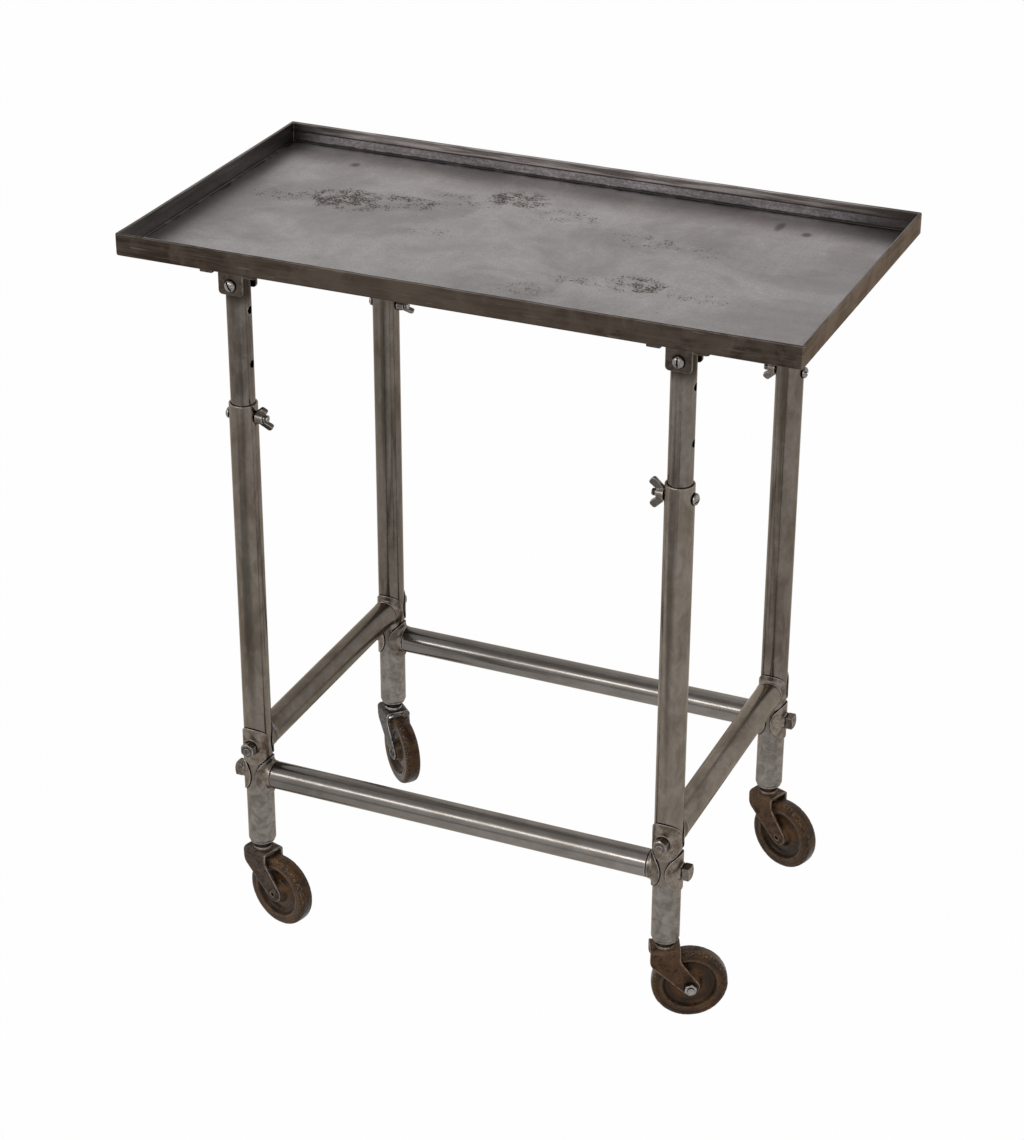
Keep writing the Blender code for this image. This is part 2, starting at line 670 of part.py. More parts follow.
def wing_nut_mesh():
    """Wing nut on a bolt along X, base towards the leg on the Z axis, wings up and down."""
    base = LEG_RADIUS + SEAT_GAP
    hub_profile = [
        (0.0, base + WING_HUB_HEIGHT),
        (WING_HUB_TIP_DIAMETER / 2, base + WING_HUB_HEIGHT),
        (WING_HUB_DIAMETER / 2, base),
        (0.0, base),
    ]
    nut = turned("wing_nut_pattern", hub_profile, PIN_SIDES, along=ALONG_X)
    # Each wing is a strip at 45 degrees, from the hub's foot out to a square tip.
    root = Vector((base + WING_ROOT_RISE, WING_REACH - WING_HEIGHT + WING_WIDTH / math.sqrt(2)))
    outer = Vector((root.x + WING_REACH - root.y, WING_REACH))
    across = Vector((1, -1)).normalized() * WING_WIDTH
    inner = outer + across
    foot = Vector((base + WING_HUB_HEIGHT / 2, LOCK_BOLT_RADIUS + WING_THICKNESS / 4))
    for side in (1, -1):
        wing = filleted([
            (root.x, side * root.y, 0.0),
            (outer.x, side * outer.y, WING_TIP_RADIUS),
            (inner.x, side * inner.y, WING_TIP_RADIUS),
            (base + WING_HUB_HEIGHT, side * foot.y, 0.0),
            (root.x, side * foot.y, 0.0),
        ])
        combine(nut, flat_plate("wing", wing, WING_THICKNESS, PLANE_XZ), "UNION")
    hole = LOCK_BOLT_RADIUS + TURNING_CLEARANCE
    drill(nut, hole, (0, 0, 0), (base + 2 * WING_HEIGHT, 0, 0), HOLE_SIDES)
    return finished_mesh(nut)


# Casters

def socket_mesh():
    """Sleeve in the leg's lower end with a tapered flange under the tube."""
    bore = STEM_RADIUS + TURNING_CLEARANCE
    flange_top = LEG_BOTTOM - SEAT_GAP
    taper_top = flange_top - SOCKET_FLANGE_HEIGHT
    profile = [
        (LEG_BORE - SEAT_GAP, LEG_BOTTOM + SOCKET_LENGTH),
        (LEG_BORE - SEAT_GAP, flange_top),
        (SOCKET_FLANGE_DIAMETER / 2, flange_top),
        (SOCKET_FLANGE_DIAMETER / 2, taper_top),
        (STEM_BOSS_DIAMETER / 2, SOCKET_BOTTOM),
        (bore, SOCKET_BOTTOM),
        (bore, LEG_BOTTOM + SOCKET_LENGTH),
    ]
    return finished_mesh(turned("socket_pattern", profile, SOCKET_SIDES, closed=True))


def tangent_point(start, centre, radius, side):
    """Where a line from start touches a circle, on its left (side 1) or its right (side -1)."""
    line = Vector(centre) - Vector(start)
    lean = side * math.asin(radius / line.length)
    reach = math.sqrt(line.length**2 - radius**2)
    direction = Matrix.Rotation(lean, 2) @ line.normalized()
    return Vector(start) + direction * reach


def fork_mesh():
    """Stamped fork with its riveted stem: top face at height 0 on the swivel axis, trailing to +X."""
    axle = (TRAIL, -FORK_RISE)
    half = FORK_LENGTH / 2
    front, rear = (half, -FORK_FRONT_DROP), (-half, -FORK_REAR_DROP)
    first = tangent_point(front, axle, FORK_END_RADIUS, 1)
    last = tangent_point(rear, axle, FORK_END_RADIUS, -1)
    start = (first - Vector(axle)).normalized()
    sweep = start.angle_signed((last - Vector(axle)).normalized())
    steps = 2 * ARC_STEPS
    round_end = []
    for step in range(steps + 1):
        spoke = Matrix.Rotation(-sweep * step / steps, 2) @ start
        x, y = Vector(axle) + spoke * FORK_END_RADIUS
        round_end.append((x, y, 0.0))
    side_view = filleted([
        (-half, FORK_THICKNESS, 0.0),
        (half, FORK_THICKNESS, 0.0),
        (*front, FORK_SWEEP_RADIUS),
        *round_end,
        (*rear, FORK_SWEEP_RADIUS),
    ])
    reach = TRAIL + 2 * FORK_END_RADIUS
    depth = FORK_RISE + 2 * FORK_END_RADIUS
    fork = bent_channel(
        "fork_pattern", FORK_INSIDE, FORK_THICKNESS, FORK_BEND, depth, -FORK_LENGTH, reach
    )
    combine(fork, flat_plate("fork_side", side_view, 2 * FORK_OUTSIDE, PLANE_XZ), "INTERSECT")
    hole = AXLE_RADIUS + BOLT_CLEARANCE
    near, far = (TRAIL, -FORK_OUTSIDE, -FORK_RISE), (TRAIL, FORK_OUTSIDE, -FORK_RISE)
    drill(fork, hole, near, far, HIDDEN_HOLE_SIDES)
    sunk = -FORK_THICKNESS / 2
    stem_profile = [
        (0.0, STEM_BOSS_HEIGHT + STEM_LENGTH),
        (STEM_RADIUS, STEM_BOSS_HEIGHT + STEM_LENGTH),
        (STEM_RADIUS, STEM_BOSS_HEIGHT),
        (STEM_BOSS_DIAMETER / 2, STEM_BOSS_HEIGHT),
        (STEM_BOSS_DIAMETER / 2, sunk),
        (0.0, sunk),
    ]
    combine(fork, turned("stem", stem_profile, PIN_SIDES), "UNION")
    return finished_mesh(fork)


def wheel_mesh():
    """Wheel turned about Y, flat on the floor at a facet: hub, dished web, groove and tyre ring."""
    tread = WHEEL_RADIUS / math.cos(math.pi / WHEEL_SIDES)
    face = [
        (AXLE_RADIUS + TURNING_CLEARANCE, HUB_WIDTH / 2),
        (HUB_DIAMETER / 2, HUB_WIDTH / 2),
        (HUB_DIAMETER / 2 + (HUB_WIDTH - WEB_WIDTH) / 4, WEB_WIDTH / 2),
        (GROOVE_INNER_DIAMETER / 2, WEB_WIDTH / 2),
        (GROOVE_OUTER_DIAMETER / 2, WHEEL_WIDTH / 2),
        (tread - TREAD_SHOULDER, WHEEL_WIDTH / 2),
        (tread, WHEEL_WIDTH / 2 - TREAD_SHOULDER),
    ]
    profile = face + [(radius, -height) for radius, height in face[::-1]]
    wheel = turned("wheel_pattern", profile, WHEEL_SIDES, closed=True)
    wheel.data.transform(ALONG_Y @ Matrix.Rotation(math.pi / 2 - math.pi / WHEEL_SIDES, 4, "Z"))
    return finished_mesh(wheel)


def rivet_axle_mesh():
    """Axle along Y, peened over a hollow end on both arms."""
    seat = FORK_OUTSIDE / 2 + SEAT_GAP
    tip = seat + AXLE_HEAD_HEIGHT
    head, hollow = AXLE_HEAD_DIAMETER / 2, AXLE_HOLLOW_DIAMETER / 2
    half = [
        (0.0, tip - AXLE_HOLLOW_DEPTH),
        (hollow, tip),
        (head * 0.8, tip),
        (head, seat),
        (AXLE_RADIUS, seat),
    ]
    profile = half + [(radius, -height) for radius, height in half[::-1]]
    return finished_mesh(turned("rivet_axle_pattern", profile, PIN_SIDES, along=ALONG_Y))


def bolt_axle_mesh():
    """Axle bolt along Y with a hex head behind and a nut tightened in front."""
    seat = FORK_OUTSIDE / 2 + SEAT_GAP
    front, back = -seat - AXLE_NUT_HEIGHT - AXLE_PROUD, seat + AXLE_NUT_HEIGHT / 2
    bolt = prism("bolt_axle_pattern", AXLE_RADIUS, SHANK_SIDES, (0, front, 0), (0, back, 0))
    corner = AXLE_NUT_FLATS / math.sqrt(3)
    for side in (-1, 1):
        near, far = (0, side * seat, 0), (0, side * (seat + AXLE_NUT_HEIGHT), 0)
        combine(bolt, prism("axle_hex", corner, 6, near, far, math.pi / 6), "UNION")
    return finished_mesh(bolt)


# Assembly

def put_top():
    """Everything that rises and falls together: tray, brackets, screws and inner tubes."""
    lift = put_empty("tray_lift", (0.0, 0.0, 0.0))
    put("tray", tray_mesh(), TRAY_STEEL, (0, 0, 0), lift)
    bracket, screw, tube = bracket_mesh(), bracket_screw_mesh(), inner_tube_mesh()
    for leg, (sx, sy) in LEGS.items():
        x, y = sx * LEG_X, sy * LEG_Y
        outward = 0.0 if sy < 0 else math.pi
        put("tray_bracket_" + leg, bracket, BRACKET_STEEL, (x, y, TRAY_BOTTOM - SEAT_GAP), lift)
        screw_turn = (0, math.radians(SCREW_TURN[leg]), outward)
        put("bracket_screw_" + leg, screw, BOLT_STEEL, (x, y, SCREW_HEIGHT), lift, screw_turn)
        put("inner_tube_" + leg, tube, TUBE_STEEL, (x, y, 0), lift)


def put_frame():
    """Legs, stretchers and what bolts them together."""
    leg_tube, washer, long_bolt = leg_mesh(), washer_mesh(), long_bolt_mesh()
    lock_bolt, wing_nut = lock_bolt_mesh(), wing_nut_mesh()
    for leg, (sx, sy) in LEGS.items():
        x, y = sx * LEG_X, sy * LEG_Y
        inward = 0.0 if sx < 0 else math.pi
        long_side = math.pi if sx < 0 else 0.0
        short_side = sy * math.pi / 2
        put("leg_tube_" + leg, leg_tube, TUBE_STEEL, (x, y, 0))
        long_place, side_place = (x, y, LONG_STRETCHER_HEIGHT), (x, y, SIDE_STRETCHER_HEIGHT)
        put("long_washer_" + leg, washer, SADDLE_STEEL, long_place, None, (0, 0, long_side))
        put("side_washer_" + leg, washer, SADDLE_STEEL, side_place, None, (0, 0, short_side))
        put("long_bolt_" + leg, long_bolt, BOLT_STEEL, long_place, None, (0, 0, inward))
        put("lock_bolt_" + leg, lock_bolt, BOLT_STEEL, (x, y, LOCK_HEIGHT), None, (0, 0, inward))
        wing_turn = math.radians(WING_TURN[leg])
        put("wing_nut_" + leg, wing_nut, BOLT_STEEL, (x, y, LOCK_HEIGHT), None, (wing_turn, 0, inward))
    long_tube = stretcher_mesh("long_stretcher_pattern", 2 * LEG_X)
    side_tube = stretcher_mesh("side_stretcher_pattern", 2 * LEG_Y)
    rod = tie_rod_mesh()
    for name, sy in (("front", -1), ("back", 1)):
        put("long_stretcher_" + name, long_tube, BRIGHT_STEEL, (0, sy * LEG_Y, LONG_STRETCHER_HEIGHT))
    for name, sx in (("left", -1), ("right", 1)):
        place = (sx * LEG_X, 0, SIDE_STRETCHER_HEIGHT)
        put("side_stretcher_" + name, side_tube, TUBE_STEEL, place, None, (0, 0, math.pi / 2))
        put("tie_rod_" + name, rod, BOLT_STEEL, place)


def put_casters():
    """Sockets fixed in the legs; forks on their swivel axes, wheels on their axles."""
    socket, fork, wheel = socket_mesh(), fork_mesh(), wheel_mesh()
    rivet, bolt = rivet_axle_mesh(), bolt_axle_mesh()
    for leg, (sx, sy) in LEGS.items():
        x, y = sx * LEG_X, sy * LEG_Y
        put("caster_socket_" + leg, socket, SOCKET_STEEL, (x, y, 0))
        swivel = put_empty("swivel_" + leg, (x, y, 0), math.radians(CASTER_TURN[leg]))
        put("caster_fork_" + leg, fork, RUSTED_STEEL, (0, 0, FORK_TOP), swivel)
        put("caster_wheel_" + leg, wheel, WHEEL_RUBBER, (TRAIL, 0, WHEEL_RADIUS), swivel)
        axle = bolt if leg in BOLTED_AXLES else rivet
        put("wheel_axle_" + leg, axle, BOLT_STEEL, (TRAIL, 0, WHEEL_RADIUS), swivel)


put_top()
put_frame()
put_casters()
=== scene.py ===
# %% [markdown]
# # A wheeled medical table, dressed
# The table is old bare steel: a shallow tray on four telescoping legs, braced by bolted stretchers
# and standing on rusty casters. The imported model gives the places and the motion. This lesson
# builds a finer visible piece for every solid, gives each a worn steel finish made from nodes, and
# sets up a white studio with the camera at the photograph's viewpoint.

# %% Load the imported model
import math

import bmesh
import bpy
from mathutils import Matrix, Vector, noise
from mathutils.bvhtree import BVHTree


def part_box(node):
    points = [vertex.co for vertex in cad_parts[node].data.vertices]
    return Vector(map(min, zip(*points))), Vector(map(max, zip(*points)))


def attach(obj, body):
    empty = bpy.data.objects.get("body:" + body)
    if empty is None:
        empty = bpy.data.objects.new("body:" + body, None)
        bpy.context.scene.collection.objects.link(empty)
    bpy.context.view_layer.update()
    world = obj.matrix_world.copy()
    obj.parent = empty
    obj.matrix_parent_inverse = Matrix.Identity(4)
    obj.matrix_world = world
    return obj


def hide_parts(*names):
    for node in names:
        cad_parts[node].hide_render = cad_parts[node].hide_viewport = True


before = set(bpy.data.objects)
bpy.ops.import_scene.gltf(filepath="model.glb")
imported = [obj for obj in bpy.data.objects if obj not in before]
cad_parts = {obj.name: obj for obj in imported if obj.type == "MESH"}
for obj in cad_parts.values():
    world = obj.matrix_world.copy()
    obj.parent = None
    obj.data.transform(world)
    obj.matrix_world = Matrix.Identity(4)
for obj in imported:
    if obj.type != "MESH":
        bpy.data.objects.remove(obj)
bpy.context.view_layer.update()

# %% [markdown]
# ## Places
# Every finer piece has to sit exactly where its solid sits, so the main places are read from the
# solids' own boxes. Only sizes that a box can't tell, such as a bend radius, are written here.

# %% Places read from the solids
LEGS = {"fl": (-1, -1), "fr": (1, -1), "bl": (-1, 1), "br": (1, 1)}


def middle(node):
    low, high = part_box(node)
    return (Vector(low) + Vector(high)) / 2


leg_low, leg_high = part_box("leg_tube_fr")
tray_low, tray_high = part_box("tray")
tube_low, tube_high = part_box("inner_tube_fr")
LEG_X = middle("leg_tube_fr").x
LEG_Y = -middle("leg_tube_fr").y
LEG_RADIUS = (leg_high[0] - leg_low[0]) / 2
LEG_TOP, LEG_BOTTOM = leg_high[2], leg_low[2]
INNER_RADIUS = (tube_high[0] - tube_low[0]) / 2
INNER_TOP, INNER_BOTTOM = tube_high[2], tube_low[2]
HALF_LENGTH, HALF_DEPTH = tray_high[0], tray_high[1]
TRAY_BOTTOM, TRAY_TOP = tray_low[2], tray_high[2]
LOCK_HEIGHT = middle("lock_bolt_fl").z
SIDE_HEIGHT = middle("side_stretcher_left").z
LONG_HEIGHT = middle("long_stretcher_front").z
WHEEL_RADIUS = middle("caster_wheel_fr").z
LEG_AT = {leg: Vector((sx * LEG_X, sy * LEG_Y, 0.0)) for leg, (sx, sy) in LEGS.items()}
print("legs at", round(LEG_X, 4), round(LEG_Y, 4), "tray top", round(TRAY_TOP, 4))

# %% [markdown]
# ## Finishes
# Bare steel that has been handled for decades is not one colour. It has cloudy brown patches,
# streaks along the way a tube was polished, pits with rust in them, and bright edges where hands
# have rubbed. Each of these effects is a node group, so that every material can mix them with its
# own values. First come small helpers that keep the node code short.

# %% Helpers for node trees
def add(tree, kind, feeds=None, **settings):
    """Adds a node. feeds maps a socket's name or number to a value or to another node's socket."""
    made = tree.nodes.new(kind)
    for key, value in settings.items():
        setattr(made, key, value)
    for key, value in (feeds or {}).items():
        if isinstance(value, bpy.types.NodeSocket):
            tree.links.new(value, made.inputs[key])
        else:
            made.inputs[key].default_value = value
    return made


def maths(tree, operation, first, second=0.0):
    return add(tree, "ShaderNodeMath", {0: first, 1: second}, operation=operation).outputs[0]


def times(tree, first, second):
    return maths(tree, "MULTIPLY", first, second)


def plus(tree, first, second):
    return maths(tree, "ADD", first, second)


def spread(tree, value, low, high, bottom=0.0, top=1.0):
    """Eases value from bottom to top while it goes from low to high."""
    feeds = {"Value": value, "From Min": low, "From Max": high, "To Min": bottom, "To Max": top}
    return add(tree, "ShaderNodeMapRange", feeds, interpolation_type="SMOOTHSTEP").outputs[0]


def blend(tree, share, first, second):
    """Mixes two colours. Each is another node's socket or red, green and blue."""
    feeds = {0: share}
    for number, colour in ((6, first), (7, second)):
        feeds[number] = colour if isinstance(colour, bpy.types.NodeSocket) else (*colour[:3], 1.0)
    return add(tree, "ShaderNodeMix", feeds, data_type="RGBA").outputs[2]


def glaze(tree, colour, mask, share, over):
    """Lays a thin colour over another where the mask is high."""
    return blend(tree, times(tree, mask, share), colour, over)


print("node helpers", [helper.__name__ for helper in (add, maths, times, plus, spread, blend, glaze)])

# %% Helpers for patterns and groups
PLACE = ("Vector", (0.0, 0.0, 0.0))


def mottle(tree, place, scale, detail=4.0, roughness=0.55, distortion=0.0):
    feeds = {
        "Vector": place,
        "Scale": scale,
        "Detail": detail,
        "Roughness": roughness,
        "Distortion": distortion,
    }
    return add(tree, "ShaderNodeTexNoise", feeds).outputs[0]


def stretched(tree, place, stretch):
    return add(tree, "ShaderNodeVectorMath", {0: place, 1: stretch}, operation="MULTIPLY").outputs[0]


def carried(tree, name):
    """An attribute that the mesh carries."""
    return add(tree, "ShaderNodeAttribute", attribute_name=name).outputs["Fac"]


def axes(tree, place):
    """The X, Y and Z of a place."""
    return add(tree, "ShaderNodeSeparateXYZ", {0: place}).outputs


def new_group(name, inputs, outputs):
    """An empty shader group with its named sockets, and the sockets to wire inside it."""
    tree = bpy.data.node_groups.new(name, "ShaderNodeTree")
    for label, (kind, value) in inputs.items():
        socket = tree.interface.new_socket(label, in_out="INPUT", socket_type="NodeSocket" + kind)
        socket.default_value = value
    for label, kind in outputs.items():
        tree.interface.new_socket(label, in_out="OUTPUT", socket_type="NodeSocket" + kind)
    return tree, tree.nodes.new("NodeGroupInput").outputs, tree.nodes.new("NodeGroupOutput").inputs


def use(tree, group, **feeds):
    """A copy of a group with its inputs given by name. Returns its outputs."""
    return add(tree, "ShaderNodeGroup", feeds, node_tree=group).outputs


print("pattern helpers", [helper.__name__ for helper in (mottle, stretched, carried, axes, new_group, use)])

# %% [markdown]
# Cloudy patches are slow noise with a little distortion, so that their borders wander. Polishing
# streaks are the same noise squeezed across the tube and stretched along it. Both give a mask from
# 0 to 1 and leave the colours to the material.

# %% Cloudy patches and polishing streaks
CLOUDS, given, result = new_group(
    "cloudy_patches",
    {"Place": PLACE, "Scale": ("Float", 12.0), "Low": ("Float", 0.38), "High": ("Float", 0.62)},
    {"Mask": "Float"},
)
drift = mottle(CLOUDS, given["Place"], given["Scale"], 5.0, 0.6, 0.7)
CLOUDS.links.new(spread(CLOUDS, drift, given["Low"], given["High"]), result["Mask"])

STREAKS, given, result = new_group(
    "polishing_streaks",
    {"Place": PLACE, "Stretch": ("Vector", (200.0, 200.0, 6.0))},
    {"Mask": "Float", "Fine": "Float"},
)
drawn = stretched(STREAKS, given["Place"], given["Stretch"])
broad = mottle(STREAKS, drawn, 1.0, 3.0, 0.55, 0.3)
fine = mottle(STREAKS, drawn, 5.0, 2.0, 0.6)
STREAKS.links.new(spread(STREAKS, broad, 0.36, 0.66), result["Mask"])
STREAKS.links.new(fine, result["Fine"])
print("groups", CLOUDS.name, STREAKS.name)

# %% [markdown]
# Rust sits in pits, and pits come in crowds: a fine grain decides where single pits can be, and a
# slower noise decides where the crowd is. The grain is turned a little, because noise shows rows
# along its own axes where it is cut that hard. Worn edges read the face attribute "edge", which each
# finished mesh carries where its surface turns sharply outwards. Dirt and painted shade read two
# attributes that are painted on the points near the end of the lesson: "near" is high where another
# surface is only a millimetre or two away, and gives a dark crust that is both dirt and the shade in
# that tight corner; "far" is high where a surface shades the place from a few centimetres off, and
# gives painted shade.

# %% Pits, worn edges and dirt
PITS, given, result = new_group(
    "rust_pits",
    {"Place": PLACE, "Grain": ("Float", 700.0), "Crowd": ("Float", 0.5)},
    {"Mask": "Float", "Height": "Float"},
)
feeds = {"Vector": given["Place"], "Rotation": (0.5, 0.35, 0.7)}
tilted = add(PITS, "ShaderNodeVectorRotate", feeds, rotation_type="EULER_XYZ").outputs[0]
grain = mottle(PITS, tilted, given["Grain"], 2.0, 0.5, 0.4)
floor_level = maths(PITS, "SUBTRACT", 0.78, times(PITS, given["Crowd"], 0.34))
ceiling = plus(PITS, floor_level, 0.07)
pit = spread(PITS, grain, floor_level, ceiling)
PITS.links.new(pit, result["Mask"])
PITS.links.new(maths(PITS, "SUBTRACT", 1.0, pit), result["Height"])

WEAR, given, result = new_group(
    "worn_edges",
    {"Place": PLACE, "Amount": ("Float", 0.7), "Scale": ("Float", 160.0)},
    {"Mask": "Float"},
)
edge = carried(WEAR, "edge")
patchy = spread(WEAR, mottle(WEAR, given["Place"], given["Scale"], 3.0), 0.3, 0.6, 0.25, 1.0)
rubbed = times(WEAR, edge, times(WEAR, patchy, given["Amount"]))
WEAR.links.new(rubbed, result["Mask"])

DIRT_AND_SHADE, given, result = new_group(
    "dirt_and_painted_shade",
    {"Place": PLACE, "Colour": ("Color", (0.5, 0.5, 0.5, 1.0)), "Amount": ("Float", 0.9)},
    {"Colour": "Color", "Mask": "Float"},
)
near = carried(DIRT_AND_SHADE, "near")
far = carried(DIRT_AND_SHADE, "far")
# Dark crust where another surface is close: dirt, and painted shade of that tight corner.
ragged = times(DIRT_AND_SHADE, maths(DIRT_AND_SHADE, "SUBTRACT", mottle(DIRT_AND_SHADE, given["Place"], 240.0), 0.5), 0.24)
crusted = spread(DIRT_AND_SHADE, plus(DIRT_AND_SHADE, near, ragged), 0.07, 0.33)
crusted = times(DIRT_AND_SHADE, crusted, given["Amount"])
# Painted shade: darker where surfaces a few centimetres off would shade the place.
shaded = blend(DIRT_AND_SHADE, spread(DIRT_AND_SHADE, far, 0.05, 0.6, 0.0, 0.6), given["Colour"], (0.02, 0.015, 0.011))
DIRT_AND_SHADE.links.new(blend(DIRT_AND_SHADE, crusted, shaded, (0.012, 0.009, 0.007)), result["Colour"])
DIRT_AND_SHADE.links.new(crusted, result["Mask"])
print("groups", PITS.name, WEAR.name, DIRT_AND_SHADE.name)

# %% [markdown]
# One function mixes these groups into a steel. Its values say how dark and how pale the metal is,
# which way it was polished, how rough it has become and how much of it has pitted. The fine streaks
# only tip the surface a little through a bump, which softens the highlights as on a rubbed tube.
# The tint at grazing angles is set dark, because a dirty skin doesn't turn white at its outline.

# %% A worn steel from the groups
RUST_BROWN = (0.05, 0.03, 0.018, 1.0)
RUBBED_STEEL = (0.42, 0.40, 0.385, 1.0)
GRAZING_TINT = (0.72, 0.66, 0.6, 1.0)


def new_material(name):
    material = bpy.data.materials.new(name)
    material.use_nodes = True
    material.node_tree.nodes.clear()
    tree = material.node_tree
    return material, tree, add(tree, "ShaderNodeTexCoord").outputs["Object"]


def close_material(tree, colour, metallic, rough, height, depth, tint=GRAZING_TINT, specular=0.5):
    bump = add(tree, "ShaderNodeBump", {"Strength": 1.0, "Distance": depth, "Height": height})
    feeds = {
        "Base Color": colour,
        "Metallic": metallic,
        "Roughness": rough,
        "Specular Tint": tint,
        "Specular IOR Level": specular,
        "Normal": bump.outputs[0],
    }
    shader = add(tree, "ShaderNodeBsdfPrincipled", feeds)
    add(tree, "ShaderNodeOutputMaterial", {"Surface": shader.outputs[0]})


def worn_steel(name, deep, mid, pale, stretch, rough, pits=0.2, wear=0.6, cloud=1.0, bump=3e-5, extra=None):
    """deep, mid and pale are colours, rough is (smooth, dull), cloud the size of the patches."""
    material, tree, place = new_material(name)
    drawn = stretched(tree, place, tuple(9.0 / cloud + value * 0.07 for value in stretch))
    clouds = use(tree, CLOUDS, Place=drawn, Scale=1.0)
    patches = use(tree, CLOUDS, Place=drawn, Scale=3.1)
    lines = use(tree, STREAKS, Place=place, Stretch=stretch)
    crowd = times(tree, mottle(tree, place, 35.0, 3.0), pits * 2.0)
    pitted = use(tree, PITS, Place=place, Crowd=crowd)
    rubbed = use(tree, WEAR, Place=place, Amount=wear)
    colour = blend(tree, clouds[0], deep, mid)
    colour = glaze(tree, colour, patches[0], 0.5, pale)
    colour = glaze(tree, colour, lines["Mask"], 0.22, pale)
    stains = use(tree, CLOUDS, Place=drawn, Scale=9.0)
    colour = glaze(tree, colour, stains[0], 0.3, deep)
    smooth, dull = rough
    roughness = spread(tree, clouds[0], 0.0, 1.0, dull, smooth)
    if extra:
        colour, roughness = extra(tree, place, colour, roughness)
    colour = blend(tree, pitted["Mask"], colour, RUST_BROWN)
    colour = blend(tree, rubbed[0], colour, RUBBED_STEEL)
    # Dirt and painted shade, from the points' "near" and "far".
    dirt_and_shade = use(tree, DIRT_AND_SHADE, Place=place, Colour=colour)
    roughness = plus(tree, roughness, times(tree, pitted["Mask"], 0.25))
    roughness = plus(tree, roughness, times(tree, dirt_and_shade["Mask"], 0.3))
    fine = times(tree, lines["Fine"], 0.5)
    height = plus(tree, fine, pitted["Height"])
    close_material(tree, dirt_and_shade["Colour"], 1.0, roughness, height, bump)
    print("steel", name)
    return material


print("rust", RUST_BROWN[:3], "rubbed steel", RUBBED_STEEL[:3])

# %% [markdown]
# Some steels also differ over the table: the left and the back are painted darker, as painted
# shade where less light falls, the legs' lower ends are paler, the inner tubes are painted nearly
# black close under the tray as the tray's shade, and saddle ends are browner than the tube between
# them. Each difference is a function that a steel can be given.

# %% Differences over the table
def blend_value(tree, share, first, second):
    return add(tree, "ShaderNodeMix", {0: share, 2: first, 3: second}, data_type="FLOAT").outputs[0]


def brightened(tree, colour, factor):
    """The colour times a factor, below 1 darker."""
    feeds = {0: factor, 1: factor, 2: factor}
    return stretched(tree, colour, add(tree, "ShaderNodeCombineXYZ", feeds).outputs[0])


def painted_shade_left_back(tree, place, colour, left=0.87, right=1.0, back=0.8):
    """Painted shade: towards the left and the back of the table the colour is made darker."""
    apart = axes(tree, place)
    across = spread(tree, apart["X"], -LEG_X, LEG_X, left, right)
    shade = times(tree, across, spread(tree, apart["Y"], -LEG_Y, LEG_Y, 1.0, back))
    return brightened(tree, colour, shade)


def lower_end(tree, place, colour, roughness):
    """The legs' lower ends are paler and blotched, as if a sleeve had covered them once."""
    height = axes(tree, place)["Z"]
    low = spread(tree, height, 0.2, 0.17)
    blotch = use(tree, CLOUDS, Place=place, Scale=95.0, Low=0.3, High=0.7)
    pale = blend(tree, blotch[0], (0.13, 0.113, 0.098), (0.236, 0.214, 0.192))
    # Painted shade towards the left and the back, over all but the pale lower end.
    colour = blend(tree, low, painted_shade_left_back(tree, place, colour), pale)
    return colour, plus(tree, roughness, times(tree, low, 0.1))


def painted_shade_under_tray(tree, place, colour, roughness):
    """Painted shade: close under the tray the inner tubes are painted nearly black, as the tray's shade."""
    height = axes(tree, place)["Z"]
    high = spread(tree, height, INNER_TOP - 0.04, INNER_TOP - 0.022, 0.0, 0.85)
    return blend(tree, high, painted_shade_left_back(tree, place, colour), (0.02, 0.015, 0.011)), roughness


def back_darker(tree, place, colour, roughness):
    """Painted shade: the fasteners at the back are darker than those in front."""
    return painted_shade_left_back(tree, place, colour, 0.95, 1.05, 0.65), roughness


def saddle_ends(tree, place, colour, roughness):
    """The saddle ends are browner and duller than the tube between them, the brazed seam is black."""
    collar = carried(tree, "collar")
    blotch = use(tree, CLOUDS, Place=place, Scale=75.0, Low=0.34, High=0.66)
    brown = blend(tree, blotch[0], (0.085, 0.068, 0.053), (0.21, 0.184, 0.157))
    # Painted shade, darker towards the left.
    colour = painted_shade_left_back(tree, place, colour, 0.8, 1.1, 1.0)
    colour = blend(tree, spread(tree, collar, 0.0, 1.0), colour, brown)
    colour = blend(tree, spread(tree, collar, 1.0, 2.0), colour, (0.02, 0.015, 0.012))
    return colour, blend_value(tree, spread(tree, collar, 0.0, 1.0), roughness, 0.33)


differences = (lower_end, painted_shade_under_tray, back_darker, saddle_ends)
print("differences", [touch.__name__ for touch in differences])

# %% [markdown]
# The tubes share this recipe. The legs are brownish and satin, the long stretchers have been
# rubbed brighter than the rest, and saddles, bolts and sockets differ in how dark and pitted they
# are. The screws and nuts are smaller, so they have no direction in their streaks.

# %% The steels of tubes, saddles and fasteners
ALONG_X, ALONG_Y, ALONG_Z = (6.0, 150.0, 150.0), (150.0, 6.0, 150.0), (150.0, 150.0, 6.0)
EVENLY = (90.0, 90.0, 90.0)
LEG_STEEL = worn_steel(
    "leg_steel", (0.116, 0.094, 0.073), (0.187, 0.159, 0.132), (0.242, 0.213, 0.184), ALONG_Z, (0.15, 0.21),
    extra=lower_end,
)
INNER_STEEL = worn_steel(
    "inner_tube_steel", (0.09, 0.073, 0.06), (0.144, 0.123, 0.105), (0.205, 0.182, 0.161), ALONG_Z,
    (0.13, 0.19), extra=painted_shade_under_tray,
)
SIDE_STEEL = worn_steel(
    "side_tube_steel", (0.104, 0.085, 0.067), (0.158, 0.135, 0.112), (0.21, 0.185, 0.161), ALONG_Y,
    (0.27, 0.35), extra=saddle_ends,
)
